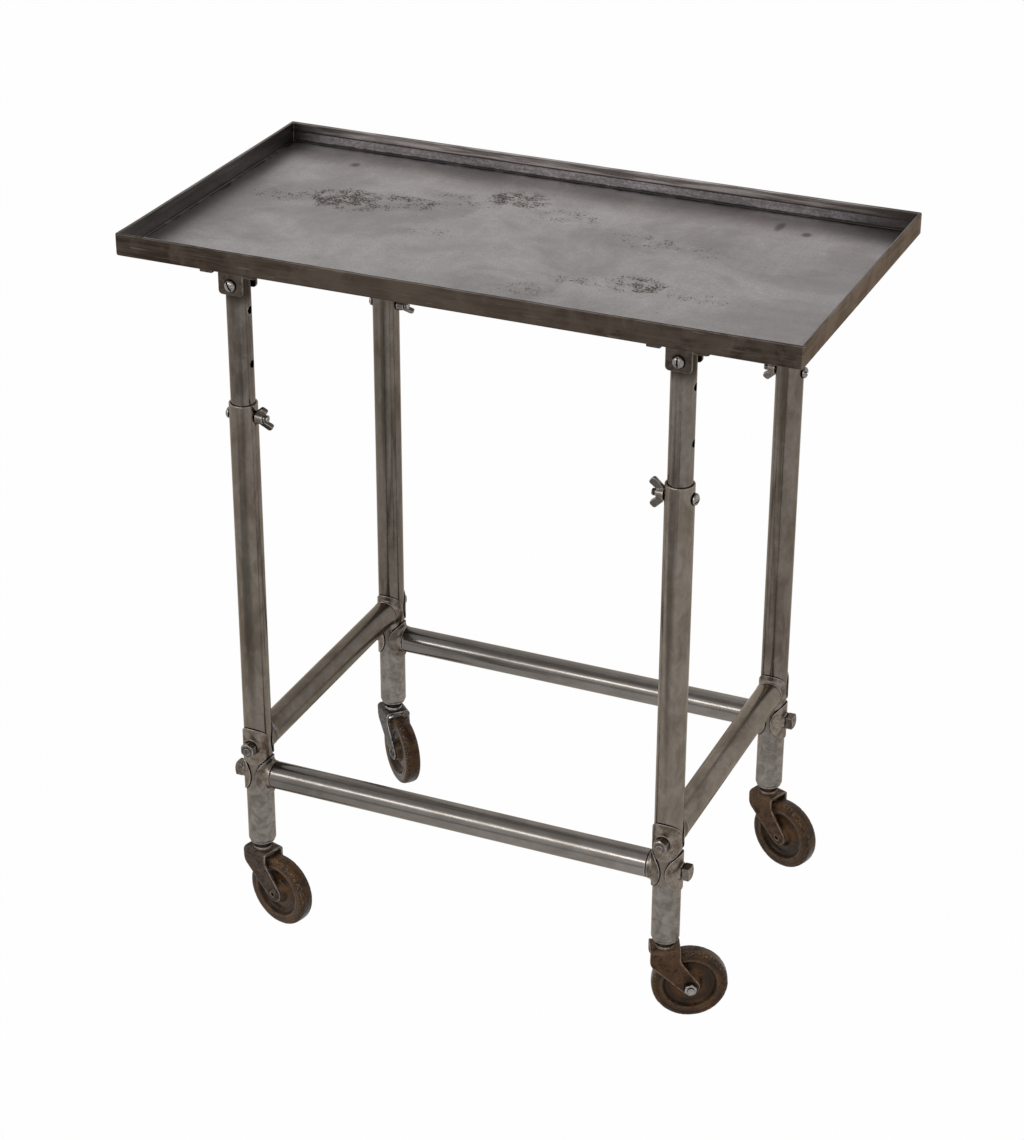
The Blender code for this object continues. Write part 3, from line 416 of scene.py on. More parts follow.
LONG_STEEL = worn_steel(
    "long_tube_steel", (0.15, 0.135, 0.121), (0.195, 0.178, 0.163), (0.222, 0.205, 0.19), ALONG_X,
    (0.19, 0.25), pits=0.12, extra=saddle_ends,
)
SADDLE_STEEL = worn_steel(
    "saddle_steel", (0.082, 0.055, 0.036), (0.198, 0.166, 0.134), (0.3, 0.268, 0.232), EVENLY,
    (0.28, 0.4), pits=0.4, wear=0.6, cloud=0.3, bump=6e-5,
)
BOLT_STEEL = worn_steel(
    "bolt_steel", (0.066, 0.05, 0.038), (0.137, 0.114, 0.093), (0.24, 0.213, 0.184), EVENLY,
    (0.26, 0.38), pits=0.25, wear=0.85, cloud=0.08, bump=4e-5, extra=back_darker,
)
WING_STEEL = worn_steel(
    "wing_nut_steel", (0.085, 0.071, 0.059), (0.15, 0.13, 0.112), (0.25, 0.226, 0.202), EVENLY,
    (0.24, 0.34), pits=0.25, wear=0.8, cloud=0.1, bump=6e-5,
)
SCREW_STEEL = worn_steel(
    "screw_steel", (0.12, 0.108, 0.098), (0.24, 0.226, 0.213), (0.4, 0.385, 0.37), EVENLY,
    (0.2, 0.3), pits=0.18, wear=0.9, cloud=0.06, bump=3e-5,
)
SOCKET_STEEL = worn_steel(
    "socket_steel", (0.1, 0.088, 0.077), (0.17, 0.155, 0.142), (0.26, 0.245, 0.23), EVENLY,
    (0.3, 0.42), pits=0.3, wear=0.8, cloud=0.08,
)
BRACKET_STEEL = worn_steel(
    "bracket_steel", (0.036, 0.026, 0.02), (0.067, 0.053, 0.043), (0.112, 0.094, 0.08), EVENLY,
    (0.3, 0.42), pits=0.3, wear=0.55, cloud=0.12, bump=6e-5,
)

# %% [markdown]
# ## The tray's finish
# The tray is the part that the eye goes to. Its floor is rubbed grey with cloudy patches, wiping
# marks both ways and crowds of rust dots at a few spots. Its rim is brown outside and bright along
# the top fold. The mesh carries a face attribute "zone", so a material can tell the floor from the
# inner wall, and the outside from the underside. Each rusty spot is one more copy of a small group
# that gives a soft oval on the floor.

# %% A soft oval spot
SPOT, given, result = new_group(
    "soft_spot",
    {"Place": PLACE, "Centre": PLACE, "Spread": ("Vector", (40.0, 40.0, 0.0))},
    {"Mask": "Float"},
)
offset = add(SPOT, "ShaderNodeVectorMath", {0: given["Place"], 1: given["Centre"]}, operation="SUBTRACT")
scaled = stretched(SPOT, offset.outputs[0], given["Spread"])
reach = add(SPOT, "ShaderNodeVectorMath", {0: scaled}, operation="LENGTH").outputs["Value"]
SPOT.links.new(spread(SPOT, reach, 1.0, 0.3), result["Mask"])
print("group", SPOT.name)

# %% Rusty spots and dark marks
# Rusty spots on the tray's floor: x, y, half length, half width, strength.
RUST_SPOTS = (
    (-0.232, 0.047, 0.095, 0.055, 0.98),
    (-0.165, 0.066, 0.075, 0.036, 0.86),
    (-0.314, 0.03, 0.05, 0.03, 0.76),
    (-0.058, 0.124, 0.062, 0.046, 0.96),
    (-0.117, 0.095, 0.08, 0.034, 0.62),
    (0.154, -0.063, 0.062, 0.042, 0.92),
    (0.1, -0.078, 0.055, 0.03, 0.7),
    (0.055, -0.12, 0.07, 0.03, 0.62),
    (0.01, 0.095, 0.08, 0.04, 0.62),
    (0.12, 0.058, 0.085, 0.04, 0.66),
    (0.19, 0.05, 0.05, 0.034, 0.6),
    (0.22, -0.07, 0.08, 0.034, 0.58),
    (-0.11, -0.01, 0.07, 0.034, 0.52),
)
# Dark marks, the three small ones, and painted shade, the three broad ones:
# x, y, half length, half width, strength.
DARK_MARKS_AND_SHADE = (
    (-0.275, 0.154, 0.008, 0.01, 0.85),
    (0.236, 0.159, 0.007, 0.02, 0.75),
    (0.27, 0.147, 0.008, 0.009, 0.9),
    (0.34, 0.205, 0.2, 0.06, 0.12),
    (0.25, 0.07, 0.14, 0.08, 0.2),
    (0.06, -0.15, 0.26, 0.06, 0.22),
)
print(len(RUST_SPOTS), "rusty spots and", len(DARK_MARKS_AND_SHADE), "dark marks")

# %% Colour of the tray's floor
def scratches(tree, place, stretch):
    """Thin bright lines, longest the way the stretch is smallest."""
    fibre = mottle(tree, stretched(tree, place, stretch), 1.0, 1.0, 0.5, 0.6)
    return spread(tree, fibre, 0.69, 0.75)


def floor_colour(tree, place, x, y, wide, small):
    """Rubbed grey with wiping marks and dark marks, broad painted shade, painted shade along the walls
    and deepest in the back corners, and painted light towards the back.
    """
    wiped = use(tree, STREAKS, Place=place, Stretch=(9.0, 60.0, 9.0))
    crossed = use(tree, STREAKS, Place=place, Stretch=(70.0, 8.0, 9.0))
    grey = blend(tree, wide, (0.255, 0.23, 0.227), (0.346, 0.319, 0.315))
    grey = glaze(tree, grey, small, 0.42, (0.215, 0.196, 0.19))
    grey = glaze(tree, grey, wiped["Mask"], 0.24, (0.36, 0.342, 0.34))
    grey = glaze(tree, grey, crossed["Mask"], 0.2, (0.2, 0.184, 0.18))
    long_lines = scratches(tree, place, (22.0, 700.0, 22.0))
    short_lines = scratches(tree, place, (520.0, 26.0, 22.0))
    lines = times(tree, maths(tree, "MAXIMUM", long_lines, short_lines), 0.35)
    grey = blend(tree, lines, grey, (0.42, 0.405, 0.4))
    speckle = spread(tree, mottle(tree, place, 230.0, 3.0, 0.6), 0.3, 0.7, 0.0, 0.3)
    grey = blend(tree, speckle, grey, (0.2, 0.182, 0.178))
    grain = spread(tree, mottle(tree, place, 420.0, 3.0, 0.7), 0.38, 0.7, 0.0, 0.5)
    grey = blend(tree, grain, grey, (0.18, 0.162, 0.16))
    # Dark marks, and broad patches of painted shade.
    for at_x, at_y, length, width, strength in DARK_MARKS_AND_SHADE:
        mark = use(tree, SPOT, Place=place, Centre=(at_x, at_y, 0.0), Spread=(1 / length, 1 / width, 0.0))
        grey = blend(tree, times(tree, mark[0], strength), grey, (0.06, 0.055, 0.057))
    # Painted light: towards the back the floor is made up to 1.3 times paler, as if more light fell there.
    grey = brightened(tree, grey, spread(tree, y, 0.03, 0.17, 1.0, 1.3))
    ragged = times(tree, maths(tree, "SUBTRACT", mottle(tree, place, 45.0), 0.5), 0.02)
    to_back = plus(tree, maths(tree, "SUBTRACT", HALF_DEPTH, y), ragged)
    to_side = plus(tree, maths(tree, "SUBTRACT", HALF_LENGTH, maths(tree, "ABSOLUTE", x)), ragged)
    foot = maths(tree, "MINIMUM", to_back, to_side)
    corner = plus(tree, to_back, to_side)
    # Painted shade, darkest in the back corners and stronger on the right.
    corner_shade = times(tree, spread(tree, corner, 0.15, 0.0), spread(tree, x, -0.2, 0.2, 0.08, 0.5))
    grey = blend(tree, corner_shade, grey, (0.022, 0.019, 0.02))
    # Painted shade near the walls, and a narrow dark line at their foot that is dirt and shade.
    grey = blend(tree, spread(tree, foot, 0.03, 0.0, 0.0, 0.12), grey, (0.05, 0.045, 0.045))
    return blend(tree, spread(tree, foot, 0.0052, 0.0028, 0.0, 0.75), grey, (0.03, 0.025, 0.023))


print("floor", round(2 * HALF_LENGTH, 3), "by", round(2 * HALF_DEPTH, 3), "m")

# %% Colour of the wall inside the rim
def wall_colour(tree, place, x, z):
    """Inside of the rim: a brownish hem, a paler grey wall under it, and dark lines of dirt and painted
    shade under the hem and at the foot.
    """
    along = use(tree, STREAKS, Place=place, Stretch=(13.0, 13.0, 260.0))
    patchy = use(tree, CLOUDS, Place=place, Scale=30.0)[0]
    grain = mottle(tree, stretched(tree, place, (330.0, 330.0, 520.0)), 1.0, 3.0, 0.6)
    grain = spread(tree, grain, 0.3, 0.72)
    hem = blend(tree, along["Mask"], (0.125, 0.107, 0.1), (0.46, 0.432, 0.424))
    hem = glaze(tree, hem, grain, 0.4, (0.25, 0.23, 0.22))
    wall = blend(tree, grain, (0.235, 0.218, 0.229), (0.49, 0.465, 0.481))
    wall = glaze(tree, wall, along["Mask"], 0.5, (0.16, 0.148, 0.152))
    wall = glaze(tree, wall, patchy, 0.35, (0.13, 0.116, 0.112))
    below = spread(tree, z, TRAY_TOP - 0.0101, TRAY_TOP - 0.0107)
    colour = blend(tree, below, hem, wall)
    # Dark line under the hem's edge: dirt and painted shade under its overhang.
    line = maths(tree, "ABSOLUTE", maths(tree, "SUBTRACT", z, TRAY_TOP - 0.0108))
    colour = blend(tree, spread(tree, line, 0.0016, 0.0007, 0.0, 0.92), colour, (0.03, 0.024, 0.02))
    # Dark foot of the wall: dirt and painted shade in the crease.
    wander = times(tree, mottle(tree, place, 70.0, 3.0), 0.0035)
    lifted = maths(tree, "SUBTRACT", z, wander)
    foot = spread(tree, lifted, TRAY_BOTTOM + 0.0036, TRAY_BOTTOM + 0.0016, 0.0, 0.9)
    colour = blend(tree, foot, colour, (0.025, 0.02, 0.018))
    right = spread(tree, x, HALF_LENGTH - 0.14, HALF_LENGTH - 0.006, 0.0, 0.9)
    colour = blend(tree, right, colour, (0.05, 0.041, 0.036))
    left = spread(tree, x, 0.03 - HALF_LENGTH, 0.004 - HALF_LENGTH, 0.0, 0.8)
    return blend(tree, left, colour, (0.072, 0.061, 0.053))


print("wall", round(TRAY_TOP - TRAY_BOTTOM, 4), "m high")

# %% Tray steel
def tray_steel():
    material, tree, place = new_material("tray_steel_worn")
    zone = carried(tree, "zone")
    apart = axes(tree, place)
    wide = use(tree, CLOUDS, Place=place, Scale=7.0)[0]
    small = use(tree, CLOUDS, Place=place, Scale=26.0)[0]
    crowd = times(tree, mottle(tree, place, 24.0, 3.0), 0.42)
    for x, y, length, width, strength in RUST_SPOTS:
        spot = use(tree, SPOT, Place=place, Centre=(x, y, 0.0), Spread=(1 / length, 1 / width, 0.0))
        crowd = maths(tree, "MAXIMUM", crowd, times(tree, spot[0], strength))
    uneven = spread(tree, mottle(tree, place, 60.0, 3.0), 0.32, 0.62, 0.45, 1.1)
    crowd = times(tree, crowd, uneven)
    dots = use(tree, PITS, Place=place, Grain=420.0, Crowd=crowd)
    halo = spread(tree, crowd, 0.45, 1.0, 0.0, 0.4)
    floor = floor_colour(tree, place, apart["X"], apart["Y"], wide, small)
    floor = blend(tree, halo, floor, (0.15, 0.118, 0.092))
    floor = glaze(tree, floor, dots["Mask"], 0.8, (0.045, 0.033, 0.024))
    wall = wall_colour(tree, place, apart["X"], apart["Z"])
    colour = blend(tree, maths(tree, "GREATER_THAN", zone, 0.5), floor, wall)
    grit = use(tree, PITS, Place=place, Grain=900.0, Crowd=0.32)
    colour = glaze(tree, colour, grit["Mask"], 0.5, (0.06, 0.05, 0.042))
    rubbed = use(tree, WEAR, Place=place, Amount=0.75, Scale=60.0)
    colour = blend(tree, rubbed[0], colour, RUBBED_STEEL)
    roughness = spread(tree, wide, 0.0, 1.0, 0.42, 0.34)
    roughness = plus(tree, roughness, times(tree, dots["Mask"], 0.25))
    rubs = use(tree, STREAKS, Place=place, Stretch=(14.0, 120.0, 14.0))
    height = plus(tree, times(tree, rubs["Fine"], 0.35), dots["Height"])
    close_material(tree, colour, 1.0, roughness, height, 4e-5, (1.0, 1.0, 1.0, 1.0))
    print("tray steel with", len(RUST_SPOTS), "rusty spots")
    return material


TRAY_STEEL = tray_steel()

# %% Rim steel
def rim_steel():
    """Outside of the rim: brown, with streaks along it, paler scuffs and painted light in the middle
    and at the right end. The underside is greyer.
    """
    material, tree, place = new_material("tray_rim_steel")
    zone = carried(tree, "zone")
    small = use(tree, CLOUDS, Place=place, Scale=26.0)[0]
    along = use(tree, STREAKS, Place=place, Stretch=(16.0, 16.0, 300.0))
    brown = blend(tree, small, (0.033, 0.024, 0.018), (0.072, 0.056, 0.044))
    brown = glaze(tree, brown, along["Mask"], 0.45, (0.09, 0.072, 0.058))
    scuffed = use(tree, CLOUDS, Place=place, Scale=34.0, Low=0.56, High=0.72)
    brown = glaze(tree, brown, scuffed[0], 0.4, (0.115, 0.092, 0.07))
    lines = times(tree, scratches(tree, place, (30.0, 30.0, 420.0)), 0.5)
    brown = blend(tree, lines, brown, (0.16, 0.135, 0.112))
    grit = use(tree, PITS, Place=place, Grain=800.0, Crowd=0.4)
    brown = glaze(tree, brown, grit["Mask"], 0.6, (0.02, 0.015, 0.012))
    x = axes(tree, place)["X"]
    off_middle = maths(tree, "ABSOLUTE", maths(tree, "SUBTRACT", x, -0.03))
    # Painted light in the middle of the rim.
    painted_light_middle = spread(tree, off_middle, 0.26, 0.04, 0.0, 0.4)
    brown = blend(tree, painted_light_middle, brown, (0.105, 0.083, 0.065))
    # Painted light: the right end of the rim is made up to 1.75 times paler.
    painted_light_right = spread(tree, x, HALF_LENGTH - 0.002, HALF_LENGTH - 0.001, 1.0, 1.75)
    brown = brightened(tree, brown, painted_light_right)
    rubbed = use(tree, WEAR, Place=place, Amount=0.75, Scale=60.0)
    brown = blend(tree, rubbed[0], brown, RUBBED_STEEL)
    colour = blend(tree, maths(tree, "GREATER_THAN", zone, 2.5), brown, (0.5, 0.475, 0.455))
    height = plus(tree, times(tree, along["Fine"], 0.4), grit["Height"])
    close_material(tree, colour, 1.0, 0.42, height, 5e-5, (0.66, 0.58, 0.51, 1.0))
    print("rim steel")
    return material


RIM_STEEL = rim_steel()

# %% [markdown]
# ## Rust and rubber
# The forks are covered in old brown rust with little metal left, so they are mostly not metallic,
# with a grainy surface. They have aged differently, which takes three finishes. The wheels are hard
# brown rubber: dark in the dish, lighter and crumbly on the tread, with pale dust in the grain.

# %% Rusted forks
def rusted(name, deep, mid, pale, metallic, rough, grain, wear, worn):
    material, tree, place = new_material(name)
    broad = use(tree, CLOUDS, Place=place, Scale=60.0)
    close = use(tree, CLOUDS, Place=place, Scale=260.0)
    pitted = use(tree, PITS, Place=place, Grain=grain, Crowd=0.6)
    rubbed = use(tree, WEAR, Place=place, Amount=wear)
    colour = blend(tree, broad[0], deep, mid)
    colour = glaze(tree, colour, close[0], 0.5, pale)
    pits = times(tree, pitted["Mask"], 0.5)
    colour = blend(tree, pits, colour, (0.012, 0.009, 0.007))
    colour = blend(tree, rubbed[0], colour, worn)
    # Dirt and painted shade, from the points' "near" and "far".
    dirt_and_shade = use(tree, DIRT_AND_SHADE, Place=place, Colour=colour)
    shine = maths(tree, "MAXIMUM", rubbed[0], metallic)
    roughness = spread(tree, close[0], 0.0, 1.0, rough + 0.1, rough - 0.1)
    height = plus(tree, pitted["Height"], times(tree, close[0], 0.6))
    close_material(tree, dirt_and_shade["Colour"], shine, roughness, height, 1e-4, specular=0.14)
    print("rusted", name)
    return material


FORK_RUST = rusted(
    "fork_rust", (0.032, 0.016, 0.009), (0.084, 0.045, 0.025), (0.14, 0.078, 0.043), 0.12, 0.42, 900.0, 0.75,
    (0.36, 0.29, 0.23),
)
FORK_BROWN = rusted(
    "fork_brown", (0.016, 0.01, 0.007), (0.055, 0.035, 0.024), (0.098, 0.067, 0.048), 0.15, 0.4, 900.0, 0.8,
    (0.4, 0.34, 0.29),
)
FORK_GREY = rusted(
    "fork_grey", (0.012, 0.009, 0.007), (0.026, 0.02, 0.016), (0.048, 0.039, 0.033), 0.5, 0.28, 900.0, 0.7,
    (0.62, 0.59, 0.56),
)
FORK_FINISH = {"fl": FORK_BROWN, "fr": FORK_RUST, "bl": FORK_GREY, "br": FORK_RUST}

# %% Wheel rubber
def wheel_rubber():
    material, tree, place = new_material("wheel_rubber_worn")
    broad = use(tree, CLOUDS, Place=place, Scale=52.0)[0]
    close = use(tree, CLOUDS, Place=place, Scale=260.0)[0]
    crumbly = carried(tree, "tread")
    out = carried(tree, "out")
    pitted = use(tree, PITS, Place=place, Grain=640.0, Crowd=0.72)
    web = blend(tree, broad, (0.017, 0.01, 0.006), (0.055, 0.027, 0.011))
    rusty = times(tree, spread(tree, out, 0.026, 0.014), plus(tree, broad, 0.3))
    web = glaze(tree, web, rusty, 0.6, (0.14, 0.068, 0.024))
    tyre = blend(tree, broad, (0.025, 0.012, 0.006), (0.072, 0.034, 0.013))
    colour = blend(tree, spread(tree, out, 0.0305, 0.0335), web, tyre)
    colour = glaze(tree, colour, close, 0.35, (0.018, 0.011, 0.007))
    # Paler lip: wear, and a painted highlight on its crest.
    lip = times(tree, spread(tree, out, 0.0294, 0.0306), spread(tree, out, 0.0352, 0.0332))
    lip = times(tree, lip, spread(tree, close, 0.0, 1.0, 0.08, 0.36))
    colour = blend(tree, lip, colour, (0.19, 0.115, 0.065))
    rubbed = use(tree, WEAR, Place=place, Amount=0.75, Scale=90.0)
    colour = blend(tree, rubbed[0], colour, (0.22, 0.135, 0.075))
    crumbs = times(tree, pitted["Mask"], crumbly)
    colour = glaze(tree, colour, crumbs, 0.65, (0.24, 0.175, 0.105))
    # Dirt and painted shade, from the points' "near" and "far".
    dirt_and_shade = use(tree, DIRT_AND_SHADE, Place=place, Colour=colour, Amount=0.4)
    roughness = spread(tree, broad, 0.0, 1.0, 0.25, 0.36)
    roughness = plus(tree, roughness, times(tree, crumbly, 0.3))
    height = times(tree, pitted["Height"], plus(tree, crumbly, 0.12))
    close_material(tree, dirt_and_shade["Colour"], 0.0, roughness, height, 2e-4, specular=0.24)
    print("wheel rubber")
    return material


WHEEL_RUBBER = wheel_rubber()

# %% [markdown]
# ## Making meshes
# Almost every piece here is either turned on a lathe, bent from sheet, or drawn as an outline and
# cut. A skin through rings of points does the first two, and a plate with a filleted outline does
# the third. Booleans join and cut, and a small bevel on sharp outer edges gives each piece the soft
# edge that real metal has.

# %% Skins and turned shapes
def circle(radius, height, sides):
    turns = [2 * math.pi * i / sides for i in range(sides)]
    return [Vector((radius * math.cos(t), radius * math.sin(t), height)) for t in turns]


def skin(rings, closed=False):
    """A mesh whose skin runs through rings of points. A ring of one point is a pole."""
    work = bmesh.new()
    rows = [[work.verts.new(point) for point in ring] for ring in rings]
    pairs = list(zip(rows, rows[1:]))
    if closed:
        pairs.append((rows[-1], rows[0]))
    else:
        for row in (rows[0], rows[-1]):
            if len(row) > 2:
                work.faces.new(row)
    for near, far in pairs:
        count = max(len(near), len(far))
        for i in range(count):
            j = (i + 1) % count
            if len(near) == 1:
                work.faces.new((near[0], far[j], far[i]))
            elif len(far) == 1:
                work.faces.new((near[i], near[j], far[0]))
            else:
                work.faces.new((near[i], near[j], far[j], far[i]))
    return as_mesh(work)


def as_mesh(work):
    bmesh.ops.remove_doubles(work, verts=work.verts, dist=1e-6)
    bmesh.ops.recalc_face_normals(work, faces=work.faces)
    mesh = bpy.data.meshes.new("shape")
    work.to_mesh(mesh)
    work.free()
    return mesh


def turned(profile, sides, closed=False):
    """Turns (radius, height) points about Z. A radius of 0 closes the shape with a pole."""
    rings = []
    for radius, height in profile:
        rings.append([Vector((0, 0, height))] if radius == 0 else circle(radius, height, sides))
    return skin(rings, closed)


print("ways to make a skin", [way.__name__ for way in (skin, turned)])

# %% Filleted outlines and plates
def filleted(corners, steps=6):
    """An outline through (x, y, fillet radius) corners."""
    points = []
    for i, (x, y, radius) in enumerate(corners):
        here = Vector((x, y))
        if radius == 0:
            points.append((x, y))
            continue
        back = (Vector(corners[i - 1][:2]) - here).normalized()
        ahead = (Vector(corners[(i + 1) % len(corners)][:2]) - here).normalized()
        half = back.angle(ahead) / 2
        centre = here + (back + ahead).normalized() * (radius / math.sin(half))
        first = here + back * (radius / math.tan(half)) - centre
        last = here + ahead * (radius / math.tan(half)) - centre
        sweep = first.angle_signed(last)
        for step in range(steps + 1):
            points.append(tuple(centre + Matrix.Rotation(-sweep * step / steps, 2) @ first))
    return points


def plate(outline, thickness, place=Matrix.Identity(4)):
    """A flat plate with an outline in XY, half its thickness on each side, then put in place."""
    rings = [[Vector((x, y, z)) for x, y in outline] for z in (-thickness / 2, thickness / 2)]
    mesh = skin(rings)
    mesh.transform(place)
    return mesh


# Planes that an outline can stand in, and a lathe's axis laid along X or Y
IN_XZ = Matrix(((1, 0, 0, 0), (0, 0, -1, 0), (0, 1, 0, 0), (0, 0, 0, 1)))
IN_YZ = Matrix(((0, 0, 1, 0), (1, 0, 0, 0), (0, 1, 0, 0), (0, 0, 0, 1)))
Z_TO_X = Matrix(((0, 0, 1, 0), (0, 1, 0, 0), (-1, 0, 0, 0), (0, 0, 0, 1)))
Z_TO_Y = Matrix(((1, 0, 0, 0), (0, 0, 1, 0), (0, -1, 0, 0), (0, 0, 0, 1)))
print("a filleted corner has", len(filleted([(0, 0, 0), (1, 0, 0.1), (1, 1, 0)])) - 2, "points")

# %% A bench for modifiers and booleans
WORKSHOP = bpy.data.collections.new("workshop")
bpy.context.scene.collection.children.link(WORKSHOP)
TABLE = bpy.data.collections.new("dressed_table")
bpy.context.scene.collection.children.link(TABLE)


def on_bench(mesh):
    holder = bpy.data.objects.new("bench", mesh)
    WORKSHOP.objects.link(holder)
    return holder


def off_bench(holder, *others):
    """The holder's mesh with its modifiers applied; clears the bench."""
    bpy.context.view_layer.update()
    graph = bpy.context.evaluated_depsgraph_get()
    mesh = bpy.data.meshes.new_from_object(holder.evaluated_get(graph))
    for used in (holder, *others):
        bpy.data.objects.remove(used)
    return mesh


def combined(mesh, tool, operation):
    body, other = on_bench(mesh), on_bench(tool)
    step = body.modifiers.new("combine", "BOOLEAN")
    step.operation = operation
    step.solver = "EXACT"
    step.object = other
    return off_bench(body, other)


print("collections", WORKSHOP.name, TABLE.name)

# %% Soft edges, copies and finer faces
MOST_ROUNDS = 5


def softened(mesh, width, segments=3, angle=30.0):
    """Rounds the sharp outward edges of a mesh."""
    work = bmesh.new()
    work.from_mesh(mesh)
    bmesh.ops.remove_doubles(work, verts=work.verts, dist=1e-6)
    bmesh.ops.dissolve_degenerate(work, edges=work.edges, dist=1e-7)
    sharp = math.radians(angle)
    edges = [e for e in work.edges if e.is_manifold and e.is_convex and e.calc_face_angle() > sharp]
    bmesh.ops.bevel(
        work, geom=edges, offset=width, segments=segments, profile=0.5, affect="EDGES", clamp_overlap=True
    )
    return as_mesh(work)


def together(*meshes):
    """Several closed shapes in one mesh."""
    work = bmesh.new()
    for mesh in meshes:
        work.from_mesh(mesh)
    joined = bpy.data.meshes.new("shape")
    work.to_mesh(joined)
    work.free()
    return joined


def up(height):
    return Matrix.Translation((0, 0, height))


def moved(mesh, place):
    copy = mesh.copy()
    copy.transform(place)
    return copy


def refined(mesh, size):
    """Splits faces until no edge is much longer than size, so dirt and shade can be painted on points."""
    work = bmesh.new()
    work.from_mesh(mesh)
    for _ in range(MOST_ROUNDS):
        bmesh.ops.triangulate(work, faces=[face for face in work.faces if len(face.verts) > 4])
        edges = [edge for edge in work.edges if edge.calc_length() > size]
        if not edges:
            break
        bmesh.ops.subdivide_edges(work, edges=edges, cuts=1, use_grid_fill=True)
    return as_mesh(work)


print("faces are split", MOST_ROUNDS, "times at most")

# %% [markdown]
# A finished piece is shaded smooth, with normals that follow its large faces, and it gets the
# attribute "edge" for the wear group: a face counts as an edge where the surface turns by a large
# angle within a short way. Then it rides on its body and stands for its solids.

# %% Finishing a piece
EDGE_BENDS = (500.0, 1400.0)
PIECES = {}


def note(mesh, name, values, domain="POINT"):
    """Gives the mesh an attribute with one value for each point or face."""
    mesh.attributes.new(name, "FLOAT", domain).data.foreach_set("value", values)


def mark_edges(mesh, bends):
    """Face attribute "edge": how sharply the surface turns outwards, from 0 to 1."""
    work = bmesh.new()
    work.from_mesh(mesh)
    values = []
    for face in work.faces:
        bend = 0.0
        for side in face.edges:
            if not (side.is_manifold and side.is_convex):
                continue
            first, second = side.link_faces
            apart = (first.calc_center_median() - second.calc_center_median()).length
            bend = max(bend, side.calc_face_angle() / max(apart, 1e-6))
        values.append(min(1.0, max(0.0, (bend - bends[0]) / (bends[1] - bends[0]))))
    work.free()
    note(mesh, "edge", values, "FACE")


def finished(mesh, angle=40.0, bends=EDGE_BENDS):
    mesh.shade_smooth()
    mesh.set_sharp_from_angle(angle=math.radians(angle))
    holder = on_bench(mesh)
    even = holder.modifiers.new("even", "WEIGHTED_NORMAL")
    even.keep_sharp = True
    even.weight = 60
    mesh = off_bench(holder)
    mark_edges(mesh, bends)
    return mesh


def piece(name, mesh, material, body, nodes):
    mesh.name = name
    if material:
        mesh.materials.clear()
        mesh.materials.append(material)
    made = bpy.data.objects.new(name, mesh)
    TABLE.objects.link(made)
    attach(made, body)
    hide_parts(*nodes)
    PIECES.setdefault(body, []).append(mesh)
    print(f"{name}: {len(mesh.polygons)} faces on {body}")
    return made


# %% [markdown]
# ## The tray
# The tray is one sheet: a flat floor, walls folded up with a small bend, and the top edge turned in
# and pressed down as a hem. A drawn cross-section carried round a rectangle gives the rim. An old
# sheet is never quite straight, so the walls lean in by fractions of a millimetre and the floor has
# a shallow wave, which a mirror-like metal shows at once. All waves go inwards, so that the tray
# keeps its size.

# %% Cross-section of the rim
SHEET = 0.0016
FOLD = 0.0026
HEM_DEPTH = 0.0105
TRAY_FLOOR = TRAY_BOTTOM + SHEET


def arc(cx, cz, radius, start, end, steps):
    turns = [math.radians(start + (end - start) * i / steps) for i in range(steps + 1)]
    return [(cx + radius * math.cos(t), cz + radius * math.sin(t)) for t in turns]


def rim_section():
    """(inset, height) points from the floor's underside round the rim to the floor's top."""
    section = arc(FOLD, TRAY_BOTTOM + FOLD, FOLD, 270, 180, 6)
    section += [(0.0, TRAY_BOTTOM + share * (TRAY_TOP - TRAY_BOTTOM)) for share in (0.35, 0.6, 0.8)]
    section += arc(SHEET, TRAY_TOP - SHEET, SHEET, 180, 0, 10)
    lip = TRAY_TOP - HEM_DEPTH
    section += [(2 * SHEET, TRAY_TOP - HEM_DEPTH * 0.6)]
    section += arc(2 * SHEET - 0.0004, lip + 0.0004, 0.0004, 0, -90, 3)
    section += [(SHEET, lip), (SHEET, lip - 0.005)]
    section += arc(FOLD, TRAY_FLOOR + FOLD - SHEET, FOLD - SHEET, 180, 270, 5)
    return section


section = rim_section()
print("rim section", len(section), "points")

# %% Rings round the tray
CORNER_STEPS = 6
LONG_RUNS, SHORT_RUNS = 48, 26
FLOOR_INSET = FOLD + 0.0006
WALL_LEAN, EDGE_SAG, FLOOR_WAVE = 0.0007, 0.0016, 0.0004


def rim_ring(inset, height, corner):
    half_x, half_y = HALF_LENGTH - inset - corner, HALF_DEPTH - inset - corner
    ring = []
    signs = ((1, 1), (-1, 1), (-1, -1), (1, -1))
    rise = (height - TRAY_BOTTOM) / (TRAY_TOP - TRAY_BOTTOM)
    for quarter, (sx, sy) in enumerate(signs):
        for step in range(CORNER_STEPS + 1):
            turn = math.pi / 2 * (quarter + step / CORNER_STEPS)
            x, y = sx * half_x + corner * math.cos(turn), sy * half_y + corner * math.sin(turn)
            ring.append(Vector((x, y, height)))
        nx, ny = signs[(quarter + 1) % 4]
        turn = math.pi / 2 * (quarter + 1)
        start, way = ring[-1], Vector((math.cos(turn), math.sin(turn), 0.0))
        end = Vector((nx * half_x, ny * half_y, height)) + way * corner
        runs = LONG_RUNS if quarter % 2 == 0 else SHORT_RUNS
        for i in range(1, runs):
            share = i / runs
            point = start.lerp(end, share)
            calm = min(1.0, 8 * min(share, 1 - share))
            lean = 0.5 + 0.5 * noise.noise(point * 6.0) + 0.25 * noise.noise(point * 23.0)
            sag = 0.5 + 0.5 * noise.noise(Vector((point.x * 19.0, point.y * 19.0, 4.0)))
            point = point - way * (calm * max(0.0, lean) * rise * WALL_LEAN)
            point.z -= calm * max(0.0, sag) * max(0.0, rise - 0.8) * EDGE_SAG
            ring.append(point)
    return ring


